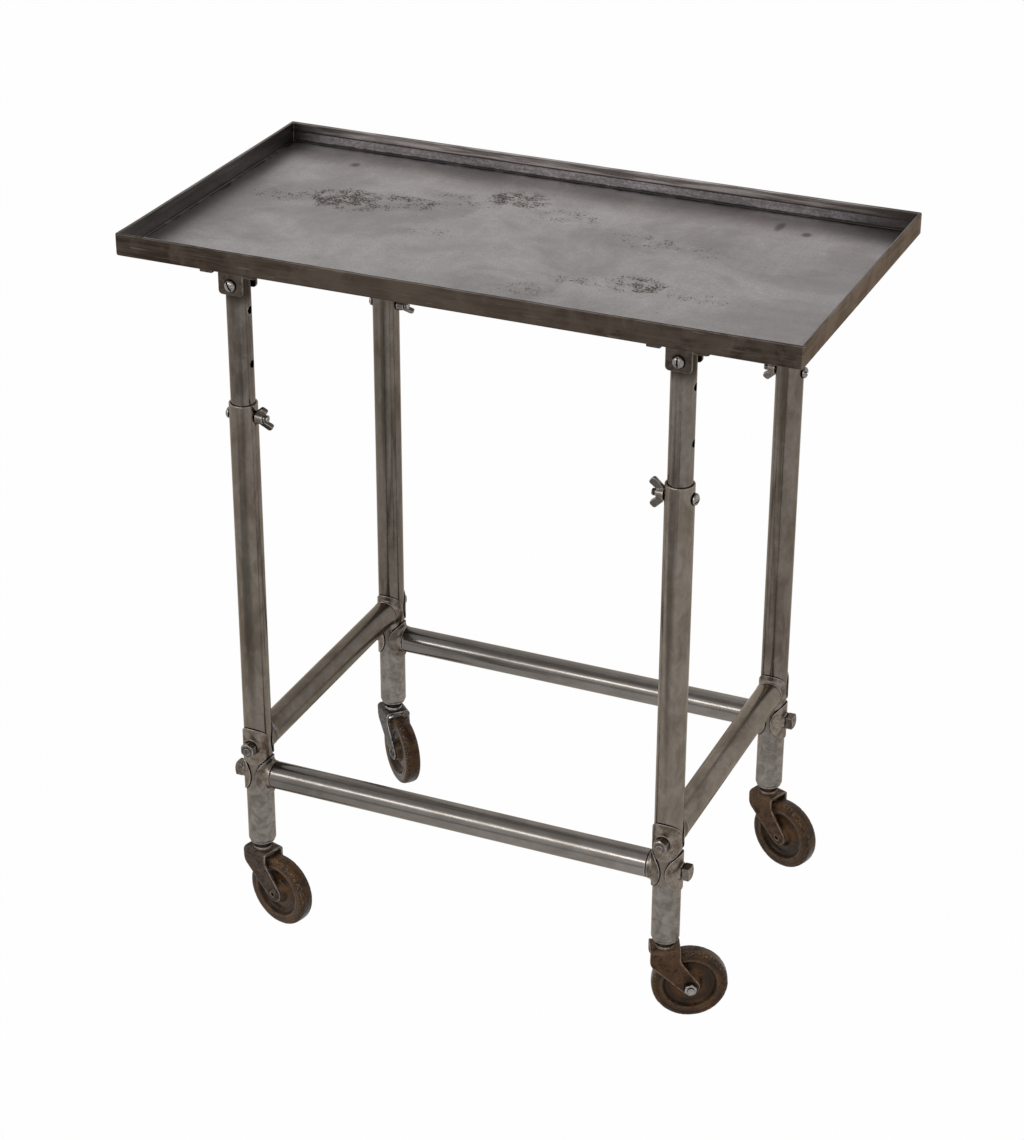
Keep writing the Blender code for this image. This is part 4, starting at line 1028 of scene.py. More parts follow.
print("rings of", len(rim_ring(FLOOR_INSET, TRAY_BOTTOM, 0.0)), "points")

# %% Floor of the tray
def floor_grid(work, height, flip):
    """A floor whose border meets the rim's last ring, with a shallow wave inside."""
    half_x, half_y = HALF_LENGTH - FLOOR_INSET, HALF_DEPTH - FLOOR_INSET
    rows = []
    for j in range(SHORT_RUNS + 1):
        row = []
        for i in range(LONG_RUNS + 1):
            x, y = half_x * (2 * i / LONG_RUNS - 1), half_y * (2 * j / SHORT_RUNS - 1)
            calm = min(1.0, 6 * min(i / LONG_RUNS, 1 - i / LONG_RUNS, j / SHORT_RUNS, 1 - j / SHORT_RUNS))
            wave = noise.noise(Vector((x * 5.0, y * 6.0, 7.0)))
            wave += 0.4 * noise.noise(Vector((x * 14, y * 14, 3)))
            row.append(work.verts.new((x, y, height + calm * wave * FLOOR_WAVE)))
        rows.append(row)
    for near, far in zip(rows, rows[1:]):
        for i in range(LONG_RUNS):
            quad = (near[i], near[i + 1], far[i + 1], far[i])
            work.faces.new(quad[::-1] if flip else quad)


print("floor of", LONG_RUNS, "by", SHORT_RUNS, "faces")

# %% The tray's pan
CORNER = 0.002


def tray_mesh():
    rings = [rim_ring(FLOOR_INSET, TRAY_BOTTOM, 0.0)]
    rings += [rim_ring(inset, height, max(CORNER - inset / 2, 0.0008)) for inset, height in section]
    rings.append(rim_ring(FLOOR_INSET, TRAY_FLOOR, 0.0))
    work = bmesh.new()
    rows = [[work.verts.new(point) for point in ring] for ring in rings]
    for near, far in zip(rows, rows[1:]):
        for i in range(len(near)):
            j = (i + 1) % len(near)
            work.faces.new((near[i], near[j], far[j], far[i]))
    floor_grid(work, TRAY_FLOOR, False)
    floor_grid(work, TRAY_BOTTOM, True)
    return as_mesh(work)


def mark_zones(mesh):
    """Face attribute "zone": 0 floor, 1 inner wall, 2 outside, 3 underside. 2 and 3 are rim steel."""
    zones = []
    for face in mesh.polygons:
        centre, normal = face.center, face.normal
        inset = min(HALF_LENGTH - abs(centre.x), HALF_DEPTH - abs(centre.y))
        outward = normal.x * centre.x if abs(normal.x) > abs(normal.y) else normal.y * centre.y
        if normal.z > 0.85 and centre.z < TRAY_FLOOR + 0.002:
            zone = 0
        elif normal.z < -0.9 and centre.z < TRAY_FLOOR:
            zone = 3
        elif outward > 0.03 and inset < 0.0015:
            zone = 2
        else:
            zone = 1
        face.material_index = zone // 2
        zones.append(float(zone))
    note(mesh, "zone", zones, "FACE")


pan = finished(tray_mesh(), 50.0)
pan.materials.append(TRAY_STEEL)
pan.materials.append(RIM_STEEL)
mark_zones(pan)
piece("tray_pan", pan, None, "top", ["tray"])

# %% [markdown]
# ## Brackets under the tray
# Each leg ends in a bracket pressed from 3 mm strip: two ears bent down in front of and behind the
# tube, and an H-shaped foot against the tray. A bent channel cut to the ear's outline, with the
# foot joined to it, is the same piece of work in the same order.

# %% Bent channel and bracket
def channel(inside, thickness, bend, drop, start, end):
    """Sheet folded to an upside-down U across Y, its top at height 0."""
    outer, inner, inner_bend = inside / 2 + thickness, inside / 2, bend - thickness
    outline = filleted([
        (-outer, -drop, 0.0),
        (-outer, 0.0, bend),
        (outer, 0.0, bend),
        (outer, -drop, 0.0),
        (inner, -drop, 0.0),
        (inner, -thickness, inner_bend),
        (-inner, -thickness, inner_bend),
        (-inner, -drop, 0.0),
    ])
    return plate(outline, end - start, Matrix.Translation(((start + end) / 2, 0, 0)) @ IN_YZ)


BRACKET_SHEET = 0.003
EAR_WIDTH, EAR_DROP, EAR_FILLET, EAR_BEND = 0.0286, 0.0275, 0.0045, 0.0042
FOOT_LENGTH, FOOT_DEPTH, FOOT_FILLET = 0.0157, 0.047, 0.003
FOOT_RELIEF, BRIDGE_DEPTH = 0.0032, 0.022
SEAT_GAP = 0.0003
EAR_INSIDE = 2 * (INNER_RADIUS + SEAT_GAP)
EAR_OUTSIDE = EAR_INSIDE + 2 * BRACKET_SHEET


def bracket_mesh():
    ears = channel(EAR_INSIDE, BRACKET_SHEET, EAR_BEND, EAR_DROP, -EAR_WIDTH, EAR_WIDTH)
    half = EAR_WIDTH / 2
    outline = filleted([
        (-half, 0.01, 0.0),
        (half, 0.01, 0.0),
        (half, -EAR_DROP, EAR_FILLET),
        (-half, -EAR_DROP, EAR_FILLET),
    ])
    ears = combined(ears, plate(outline, 0.1, IN_XZ), "INTERSECT")
    near, far = half + FOOT_RELIEF, half + FOOT_RELIEF + FOOT_LENGTH
    foot, bridge = FOOT_DEPTH / 2, BRIDGE_DEPTH / 2
    quarter = [(far, foot, FOOT_FILLET), (near, foot, 0.0008), (near, bridge, 0.0012)]
    feet = quarter + [(-x, y, r) for x, y, r in quarter[::-1]]
    feet += [(-x, -y, r) for x, y, r in feet]
    strip = plate(filleted(feet), BRACKET_SHEET, up(-BRACKET_SHEET / 2))
    return refined(softened(combined(ears, strip, "UNION"), 0.0004), 0.003)


bracket = bracket_mesh()
for leg, at in LEG_AT.items():
    place = Matrix.Translation(at + Vector((0, 0, TRAY_BOTTOM - SEAT_GAP)))
    mesh = finished(moved(bracket, place))
    piece("bracket_" + leg, mesh, BRACKET_STEEL, "top", ["tray_bracket_" + leg])

# %% [markdown]
# ## Telescoping legs
# The outer tubes carry the frame, and the inner tubes slide in them and lock at one of a row of
# holes. The row is drilled right through: two holes show above the lock bolt, and when the tray is
# raised the next two come out of the leg. The legs' upper ends are rounded over, which gives the
# bright ring under the dark line of the joint.

# %% Tubes and their holes
TUBE_SIDES = 64
HOLE_PITCH = 0.0617
LOCK_HOLE = 0.0044
INNER_WALL, LEG_WALL = 0.0017, 0.0021
FINE_STEP, WIDE_STEP = 0.0012, 0.003


def drilled(mesh, radius, start, end):
    """The mesh with a round hole from start to end."""
    line = Vector(end) - Vector(start)
    drill = turned([(0, 0), (radius, 0), (radius, line.length), (0, line.length)], 24)
    turn = Vector((0, 0, 1)).rotation_difference(line).to_matrix().to_4x4()
    drill.transform(Matrix.Translation(start) @ turn)
    return combined(mesh, drill, "DIFFERENCE")


def tube_mesh(outer, inner, bottom, top, lower_round, upper_round, rings):
    """A tube with extra rings on its outside, where dirt and shade are painted on later."""
    steps = 5
    outline = filleted([
        (outer, top, upper_round),
        (outer, bottom, lower_round),
        (inner, bottom, 0.0004),
        (inner, top, 0.0004),
    ], steps)
    outline[steps + 1:steps + 1] = [(outer, height) for height in sorted(rings, reverse=True)]
    return turned(outline, TUBE_SIDES, closed=True)


def ladder(low, high, step):
    count = round((high - low) / step)
    return [low + (high - low) * i / count for i in range(count + 1)]


inner_tube = tube_mesh(
    INNER_RADIUS, INNER_RADIUS - INNER_WALL, INNER_BOTTOM, INNER_TOP, 0.0006, 0.0004,
    ladder(INNER_TOP - 0.06, INNER_TOP - 0.001, WIDE_STEP),
)
for row in range(-2, 3):
    height = LOCK_HEIGHT + row * HOLE_PITCH
    inner_tube = drilled(inner_tube, LOCK_HOLE, (-0.03, 0, height), (0.03, 0, height))
inner_tube = softened(inner_tube, 0.0003, 2, 50.0)
leg_rings = ladder(LONG_HEIGHT - 0.034, SIDE_HEIGHT + 0.034, FINE_STEP)
leg_rings += ladder(LOCK_HEIGHT - 0.012, LOCK_HEIGHT + 0.012, FINE_STEP)
leg_rings += ladder(LEG_BOTTOM + 0.002, LEG_BOTTOM + 0.02, WIDE_STEP)
leg_tube = tube_mesh(LEG_RADIUS, LEG_RADIUS - LEG_WALL, LEG_BOTTOM, LEG_TOP, 0.0016, 0.0011, leg_rings)
for leg, at in LEG_AT.items():
    place = Matrix.Translation(at)
    mesh = finished(moved(inner_tube, place))
    piece("sliding_tube_" + leg, mesh, INNER_STEEL, "top", ["inner_tube_" + leg])
    mesh = finished(moved(leg_tube, place))
    piece("leg_" + leg, mesh, LEG_STEEL, "frame", ["leg_tube_" + leg])

# %% [markdown]
# ## Stretchers
# The stretchers are tubes with a saddle end brazed into each end: a disc bent round the leg, with a
# neck that runs into the tube. The skin starts at the middle of the disc's hollow side, goes round
# its rim, flows up the neck on a curve, dips into the brazed seam and follows the tube to the other
# end. Each point of the disc is first placed on a flat disc and then wrapped round the leg.

# %% Saddle discs wrapped round a leg
SADDLE_IN = LEG_RADIUS + 0.00025
SADDLE_SHEET = 0.0015
SADDLE_OUT = SADDLE_IN + SADDLE_SHEET
SADDLE_MID = SADDLE_IN + SADDLE_SHEET / 2
SADDLE_REACH = 0.0236
TUBE_RADIUS = 0.015875
TUBE_START = 0.0193
SEAM_WIDTH, SEAM_DEPTH = 0.0008, 0.0008
WRAP_SIDES = 72


def wrapped(reach, level, turn):
    bend = reach * math.cos(turn) / SADDLE_MID
    return Vector((level * math.cos(bend), level * math.sin(bend), reach * math.sin(turn)))


def wrapped_ring(reach, level):
    return [wrapped(reach, level, 2 * math.pi * i / WRAP_SIDES) for i in range(WRAP_SIDES)]


def tube_ring(radius, x):
    return [Vector((x, p.x, p.y)) for p in circle(radius, 0.0, WRAP_SIDES)]


print("saddle discs", round(SADDLE_REACH * 2000, 1), "mm across before bending")

# %% Neck and seam of a saddle end
def neck_rings(steps):
    """Rings on a curve that leaves the disc along its face and arrives along the tube."""
    foot = wrapped_ring(SADDLE_REACH - 0.0036, SADDLE_OUT)
    further = wrapped_ring(SADDLE_REACH - 0.0046, SADDLE_OUT)
    top = tube_ring(TUBE_RADIUS + 0.0003, TUBE_START)
    rings = []
    for step in range(steps + 1):
        t = step / steps
        ring = []
        for start, along, end in zip(foot, further, top):
            pull = (end - start).length * 0.45
            first = start + (along - start).normalized() * pull
            second = end - Vector((1, 0, 0)) * pull * 0.8
            point = start * (1 - t) ** 3 + first * 3 * t * (1 - t) ** 2
            point += second * 3 * t**2 * (1 - t) + end * t**3
            ring.append(point)
        rings.append(ring)
    return rings


def saddle_end():
    """Rings of one end of a stretcher, for a leg on the Z axis with the tube towards +X."""
    edge = SADDLE_SHEET / 2
    rings = [[Vector((SADDLE_IN, 0, 0))]]
    rings += [wrapped_ring(SADDLE_REACH * share, SADDLE_IN) for share in (0.2, 0.4, 0.6, 0.8)]
    for turn in range(-90, 91, 30):
        lift, out = math.sin(math.radians(turn)), math.cos(math.radians(turn))
        rings.append(wrapped_ring(SADDLE_REACH - 0.0005 + 0.0005 * out, SADDLE_MID + edge * lift))
    rings += [wrapped_ring(SADDLE_REACH - 0.002, SADDLE_OUT)]
    rings += neck_rings(10)
    rings.append(tube_ring(TUBE_RADIUS + 0.0001, TUBE_START + SEAM_WIDTH * 0.4))
    rings.append(tube_ring(TUBE_RADIUS - SEAM_DEPTH, TUBE_START + SEAM_WIDTH))
    rings.append(tube_ring(TUBE_RADIUS - SEAM_DEPTH, TUBE_START + SEAM_WIDTH * 1.6))
    rings.append(tube_ring(TUBE_RADIUS - 0.0002, TUBE_START + SEAM_WIDTH * 2))
    past_seam = TUBE_START + SEAM_WIDTH * 2
    rings += [tube_ring(TUBE_RADIUS, past_seam + run) for run in (0.0006, 0.0014, 0.003, 0.007)]
    return rings


print("saddle end with", len(saddle_end()), "rings")

# %% Whole stretchers
def stretcher_mesh(span):
    """The whole stretcher along X, with the point attribute "collar" on its saddle ends."""
    end = saddle_end()
    left = [[Vector((p.x - span / 2, p.y, p.z)) for p in ring] for ring in end]
    right = [[Vector((span / 2 - p.x, p.y, p.z)) for p in ring] for ring in end[::-1]]
    mesh = skin(left + right)
    collar = []
    for vertex in mesh.vertices:
        past = (span / 2 - abs(vertex.co.x) - TUBE_START) / SEAM_WIDTH
        collar.append(1.0 if past < 0.7 else 2.0 if past < 1.8 else 0.0)
    note(mesh, "collar", collar)
    return mesh


for side, sy in (("front", -1), ("back", 1)):
    place = Matrix.Translation((0, sy * LEG_Y, LONG_HEIGHT))
    mesh = finished(moved(stretcher_mesh(2 * LEG_X), place))
    piece("long_tube_" + side, mesh, LONG_STEEL, "frame", ["long_stretcher_" + side])
for side, sx in (("left", -1), ("right", 1)):
    place = Matrix.Translation((sx * LEG_X, 0, SIDE_HEIGHT)) @ Matrix.Rotation(math.pi / 2, 4, "Z")
    mesh = finished(moved(stretcher_mesh(2 * LEG_Y), place))
    piece("side_tube_" + side, mesh, SIDE_STEEL, "frame", ["side_stretcher_" + side])

# %% [markdown]
# ## Copies by Geometry Nodes
# Saddle washers, screws, bolts, nuts and sockets each come four or eight times. One tree sets out
# copies: it takes a blank shape, runs a thread along it as a coiled ridge where one is asked for,
# puts a copy on every point of a small point cloud and turns it by the point's own "turn". A tree
# keeps all copies alike and lets the thread's pitch be one value. The result is baked to a mesh.

# %% Helpers for Geometry Nodes
def geometry_tree(name, inputs):
    tree = bpy.data.node_groups.new(name, "GeometryNodeTree")
    tree.interface.new_socket("Points", in_out="INPUT", socket_type="NodeSocketGeometry")
    for label, (kind, value) in inputs.items():
        socket = tree.interface.new_socket(label, in_out="INPUT", socket_type="NodeSocket" + kind)
        if value is not None:
            socket.default_value = value
    tree.interface.new_socket("Copies", in_out="OUTPUT", socket_type="NodeSocketGeometry")
    return tree, tree.nodes.new("NodeGroupInput").outputs, tree.nodes.new("NodeGroupOutput").inputs


def set_out(tree, shape, given, result):
    """Puts shape on every point, turned by the point's attribute, and gives it the finish."""
    turn = add(tree, "GeometryNodeInputNamedAttribute", {"Name": "turn"}, data_type="FLOAT_VECTOR")
    spin = add(tree, "FunctionNodeEulerToRotation", {0: turn.outputs[0]})
    copies = add(
        tree, "GeometryNodeInstanceOnPoints",
        {"Points": given["Points"], "Instance": shape, "Rotation": spin.outputs[0]},
    )
    solid = add(tree, "GeometryNodeRealizeInstances", {0: copies.outputs[0]})
    feeds = {"Geometry": solid.outputs[0], "Material": given["Finish"]}
    painted = add(tree, "GeometryNodeSetMaterial", feeds)
    tree.links.new(painted.outputs[0], result["Copies"])


def baked(tree, places, values):
    """Runs a tree on points at the places, given as matrices, and returns the plain mesh."""
    cloud = bpy.data.meshes.new("points")
    cloud.from_pydata([place.translation for place in places], [], [])
    turns = cloud.attributes.new("turn", "FLOAT_VECTOR", "POINT")
    turns.data.foreach_set("vector", [angle for place in places for angle in place.to_euler()])
    holder = on_bench(cloud)
    nodes = holder.modifiers.new("copies", "NODES")
    nodes.node_group = tree
    for item in tree.interface.items_tree:
        if item.item_type == "SOCKET" and item.in_out == "INPUT" and item.name in values:
            nodes[item.identifier] = values[item.name]
    return off_bench(holder)


print("tree helpers", [helper.__name__ for helper in (geometry_tree, set_out, baked)])

# %% The tree for threaded fasteners
THREADED, given, result = geometry_tree("threaded_fasteners", {
    "Blank": ("Object", None),
    "Thread Radius": ("Float", 0.004),
    "Thread Pitch": ("Float", 0.0013),
    "Thread From": ("Float", 0.0),
    "Thread Turns": ("Float", 0.0),
    "Finish": ("Material", None),
})
blank = add(THREADED, "GeometryNodeObjectInfo", {"Object": given["Blank"]}).outputs["Geometry"]
rise = times(THREADED, given["Thread Pitch"], given["Thread Turns"])
coil = add(THREADED, "GeometryNodeCurveSpiral", {
    "Resolution": 24,
    "Rotations": given["Thread Turns"],
    "Start Radius": given["Thread Radius"],
    "End Radius": given["Thread Radius"],
    "Height": rise,
})
ridge = add(THREADED, "GeometryNodeCurvePrimitiveCircle", {"Resolution": 4})
THREADED.links.new(times(THREADED, given["Thread Pitch"], 0.42), ridge.inputs["Radius"])
swept = add(
    THREADED, "GeometryNodeCurveToMesh",
    {"Curve": coil.outputs[0], "Profile Curve": ridge.outputs[0], "Fill Caps": True},
)
lifted = add(THREADED, "ShaderNodeCombineXYZ", {"Z": given["Thread From"]})
feeds = {"Geometry": swept.outputs[0], "Translation": lifted.outputs[0]}
raised = add(THREADED, "GeometryNodeTransform", feeds)
joined = add(THREADED, "GeometryNodeJoinGeometry")
THREADED.links.new(raised.outputs[0], joined.inputs[0])
THREADED.links.new(blank, joined.inputs[0])
set_out(THREADED, joined.outputs[0], given, result)
print("tree", THREADED.name, "with", len(THREADED.nodes), "nodes")


def fasteners(mesh, places, finish, thread=None):
    """Copies of a fastener built along Z, with (radius, pitch, from, turns) of its thread."""
    holder = on_bench(mesh)
    radius, pitch, start, turns = thread or (0.004, 0.0013, 0.0, 0.0)
    made = baked(THREADED, places, {
        "Blank": holder,
        "Thread Radius": radius,
        "Thread Pitch": pitch,
        "Thread From": start,
        "Thread Turns": turns,
        "Finish": finish,
    })
    bpy.data.objects.remove(holder)
    return finished(made)


# %% [markdown]
# ## Saddle washers
# Opposite each stretcher a washer of the same bent form sits on the leg, pressed flat in the middle
# where the bolt's head or the nut sits. It follows a rule, so a tree makes it: turn a flat disc,
# wrap it round the leg's radius, and press the seat out to a plane.

# %% The tree for bent washers
WASHERS, given, result = geometry_tree("bent_washers", {
    "Disc": ("Object", None),
    "Wrap Radius": ("Float", SADDLE_MID),
    "Hollow Radius": ("Float", SADDLE_IN),
    "Seat Radius": ("Float", 0.009),
    "Seat Height": ("Float", SADDLE_OUT),
    "Skin Height": ("Float", SADDLE_SHEET / 2),
    "Finish": ("Material", None),
})
disc = add(WASHERS, "GeometryNodeObjectInfo", {"Object": given["Disc"]}).outputs["Geometry"]
flat = axes(WASHERS, add(WASHERS, "GeometryNodeInputPosition").outputs[0])
bend = maths(WASHERS, "DIVIDE", flat["X"], given["Wrap Radius"])
level = plus(WASHERS, flat["Z"], given["Hollow Radius"])
round_x = times(WASHERS, level, maths(WASHERS, "COSINE", bend))
round_y = times(WASHERS, level, maths(WASHERS, "SINE", bend))
squares = [times(WASHERS, flat[axis], flat[axis]) for axis in ("X", "Y")]
out = maths(WASHERS, "SQRT", plus(WASHERS, *squares))
on_seat = maths(WASHERS, "LESS_THAN", out, given["Seat Radius"])
on_skin = maths(WASHERS, "GREATER_THAN", flat["Z"], given["Skin Height"])
pressed = times(WASHERS, on_seat, on_skin)
kept = times(WASHERS, round_x, maths(WASHERS, "SUBTRACT", 1.0, pressed))
seat_x = plus(WASHERS, kept, times(WASHERS, given["Seat Height"], pressed))
bent_at = add(WASHERS, "ShaderNodeCombineXYZ", {"X": seat_x, "Y": round_y, "Z": flat["Y"]})
bent_disc = add(WASHERS, "GeometryNodeSetPosition", {"Geometry": disc, "Position": bent_at.outputs[0]})
set_out(WASHERS, bent_disc.outputs[0], given, result)
print("tree", WASHERS.name, "with", len(WASHERS.nodes), "nodes")

# %% Washers on all legs
SEAT_RADIUS = 0.0094
BOLT_RADIUS = 0.00475
SEAT_LEVEL = 0.0184


def flat_disc():
    hole, reach, sheet = BOLT_RADIUS + 0.0002, SADDLE_REACH, SADDLE_SHEET
    shares = [hole + (reach - 0.0008 - hole) * i / 9 for i in range(10)]
    lower = [(radius, 0.0) for radius in shares]
    rim = arc(reach - 0.0005, sheet / 2, 0.0005, -90, 90, 6)
    rim = [(radius, sheet / 2 + (height - sheet / 2) * sheet / 0.001) for radius, height in rim]
    upper = [(radius, sheet) for radius in shares[:0:-1] if radius > SEAT_RADIUS + 0.0008]
    seat = (SEAT_RADIUS + 0.0007, SEAT_RADIUS - 0.0001, SEAT_RADIUS - 0.0009, hole)
    upper += [(radius, sheet) for radius in seat]
    return turned(lower + rim + upper, WRAP_SIDES, closed=True)


def facing(leg, height, turn):
    return Matrix.Translation(LEG_AT[leg] + Vector((0, 0, height))) @ Matrix.Rotation(turn, 4, "Z")


disc_pattern = on_bench(flat_disc())
places = [facing(leg, LONG_HEIGHT, math.pi if sx < 0 else 0.0) for leg, (sx, sy) in LEGS.items()]
places += [facing(leg, SIDE_HEIGHT, sy * math.pi / 2) for leg, (sx, sy) in LEGS.items()]
washers = baked(WASHERS, places, {
    "Disc": disc_pattern,
    "Wrap Radius": SADDLE_MID,
    "Hollow Radius": SADDLE_IN,
    "Seat Radius": SEAT_RADIUS,
    "Seat Height": SEAT_LEVEL,
    "Skin Height": SADDLE_SHEET * 0.75,
    "Finish": SADDLE_STEEL,
})
bpy.data.objects.remove(disc_pattern)
nodes = [kind + leg for kind in ("long_washer_", "side_washer_") for leg in LEGS]
piece("saddle_washers", finished(washers), SADDLE_STEEL, "frame", nodes)

# %% [markdown]
# ## Bolts, nuts and screws
# The long stretchers are held by square-head bolts, the side stretchers by tie rods with hex nuts,
# and the tubes by slotted round-head screws. Heads and nuts are short bars with their corners turned
# off, which is how they are made from bar stock: a turned cap cuts the bar's corners to a curve.

# %% Blanks for heads and nuts
def bar_head(flats, sides, height, crown, turn=0.0):
    """A square or hex head from 0 to height, its corners turned off at the outer end."""
    corner = flats / 2 / math.cos(math.pi / sides)
    turns = [2 * math.pi * i / sides + turn for i in range(sides)]
    outline = [(corner * math.cos(t), corner * math.sin(t)) for t in turns]
    bar = plate(outline, height, up(height / 2))
    wide = corner * 1.02
    upper = [(wide, height - crown), (flats * 0.47, height), (0, height)]
    cap = turned([(0, 0), (flats * 0.48, 0), (wide, 0.0007), *upper], 48)
    return refined(softened(combined(bar, cap, "INTERSECT"), 0.0004, 2, 25.0), 0.0022)


def rod(radius, start, end):
    tip = [(radius, end - 0.0007), (radius * 0.94, end - 0.0002), (radius * 0.82, end)]
    return turned([(0, start), (radius, start), *tip, (0, end)], 32)


HEAD_RADIUS, HEAD_HEIGHT = 0.0065, 0.0048
SLOT_WIDTH, SLOT_DEPTH = 0.002, 0.0028


def round_head():
    """A slotted round head: flat side at 0, dome towards +Z, slot along X."""
    turns = [math.radians(angle) for angle in range(9, 91, 9)]
    dome = [(HEAD_RADIUS * math.sin(t), HEAD_HEIGHT * (0.22 + 0.78 * math.cos(t))) for t in turns]
    rim = [(HEAD_RADIUS, HEAD_HEIGHT * 0.08), (HEAD_RADIUS * 0.97, 0.0)]
    head = turned([(0, HEAD_HEIGHT), *dome, *rim, (0, 0.0)], 48)
    half = SLOT_WIDTH / 2
    slit = plate([(-0.02, -half), (0.02, -half), (0.02, half), (-0.02, half)], 0.01)
    slit.transform(up(HEAD_HEIGHT - SLOT_DEPTH + 0.005))
    return refined(softened(combined(head, slit, "DIFFERENCE"), 0.0002, 2, 40.0), 0.0009)


print("slotted heads", round(HEAD_RADIUS * 2000, 1), "mm across")

# %% Square-head bolts
BOLT_FLATS, BOLT_HEIGHT, BOLT_LENGTH = 0.0145, 0.0096, 0.036
CROWN = 0.0012
HEAD_SEAT = SEAT_LEVEL + 0.0001
UPSIDE_DOWN = Matrix.Rotation(math.pi, 4, "X")

square_head = bar_head(BOLT_FLATS, 4, BOLT_HEIGHT, CROWN, math.pi / 4)
square_bolt = together(
    moved(square_head, up(HEAD_SEAT)),
    moved(rod(BOLT_RADIUS, 0.0, BOLT_LENGTH), UPSIDE_DOWN @ up(-SEAT_LEVEL - 0.001)),
)
places = [facing(leg, LONG_HEIGHT, math.pi if sx < 0 else 0.0) @ Z_TO_X for leg, (sx, sy) in LEGS.items()]
bolts = fasteners(square_bolt, places, BOLT_STEEL)
piece("square_bolts", bolts, BOLT_STEEL, "frame", ["long_bolt_" + leg for leg in LEGS])

# %% Tie rods with hex nuts
NUT_FLATS, NUT_HEIGHT = 0.0155, 0.0095
ROD_RADIUS = BOLT_RADIUS - 0.0005
rod_end = HEAD_SEAT + NUT_HEIGHT + 0.001
half_rod = together(
    moved(bar_head(NUT_FLATS, 6, NUT_HEIGHT, CROWN), up(HEAD_SEAT)),
    rod(ROD_RADIUS, -LEG_Y, rod_end),
)
places = [facing(leg, SIDE_HEIGHT, sy * math.pi / 2) @ Z_TO_X for leg, (sx, sy) in LEGS.items()]
thread = (ROD_RADIUS, 0.0014, rod_end - 0.0034, 2.0)
rods = fasteners(half_rod, places, BOLT_STEEL, thread)
piece("tie_rods", rods, BOLT_STEEL, "frame", ["tie_rod_left", "tie_rod_right"])

# %% Lock bolts
PIN_RADIUS = 0.00395
THREAD_RADIUS, THREAD_PITCH = PIN_RADIUS - 0.0004, 0.00125
LOCK_REACH = 0.03
LOCK_SLOT = {"fl": 40.0, "fr": 75.0, "bl": 10.0, "br": 120.0}


def lock_bolt():
    seat = LEG_RADIUS + SEAT_GAP
    head = moved(round_head(), up(-seat) @ UPSIDE_DOWN)
    return together(head, rod(THREAD_RADIUS, -seat - 0.001, LOCK_REACH))


places = []
for leg, (sx, sy) in LEGS.items():
    spin = Matrix.Rotation(math.radians(LOCK_SLOT[leg]), 4, "Z")
    places.append(facing(leg, LOCK_HEIGHT, 0.0 if sx < 0 else math.pi) @ Z_TO_X @ spin)
thread = (THREAD_RADIUS, THREAD_PITCH, LOCK_REACH - 0.0082, 6.0)
pins = fasteners(lock_bolt(), places, SCREW_STEEL, thread)
piece("lock_bolts", pins, SCREW_STEEL, "frame", ["lock_bolt_" + leg for leg in LEGS])

# %% Bracket screws
SMALL_NUT_FLATS = 0.0127
SCREW_SLOT = {"fl": 62.0, "fr": 88.0, "bl": 25.0, "br": 140.0}
SCREW_HEIGHT = TRAY_BOTTOM - 0.0168


def bracket_screw():
    seat = EAR_OUTSIDE / 2 + SEAT_GAP
    head = moved(round_head(), up(-seat) @ UPSIDE_DOWN)
    nut = moved(bar_head(SMALL_NUT_FLATS, 6, 0.0068, 0.001), up(seat))
    return together(head, nut, rod(THREAD_RADIUS, -seat - 0.001, seat + 0.008))


places = []
for leg, (sx, sy) in LEGS.items():
    spin = Matrix.Rotation(math.radians(SCREW_SLOT[leg]), 4, "Z")
    places.append(facing(leg, SCREW_HEIGHT, 0.0 if sy < 0 else math.pi) @ Z_TO_Y @ spin)
thread = (THREAD_RADIUS, THREAD_PITCH, EAR_OUTSIDE / 2 + 0.0055, 2.0)
screws = fasteners(bracket_screw(), places, SCREW_STEEL, thread)
piece("bracket_screws", screws, SCREW_STEEL, "top", ["bracket_screw_" + leg for leg in LEGS])

# %% [markdown]
# ## Wing nuts
# The wing nuts are castings: a tapered hub with two flat wings that spread in a V, and every corner
# run together by the mould. Hub and wings are joined, remeshed into small even cells and smoothed,
# which rounds all corners at once. Then the hole for the bolt is drilled.

# %% One wing nut, then four
WING_TURN = {"fl": 28.0, "fr": -6.0, "bl": 45.0, "br": -20.0}
HUB_FOOT, HUB_TIP, HUB_HEIGHT = 0.0073, 0.006, 0.0084
WING_THICKNESS, WING_WIDTH = 0.0052, 0.0088
WING_REACH, WING_HEIGHT = 0.0187, 0.0164
WING_FILLET, CELL_SIZE = 0.0026, 0.0004


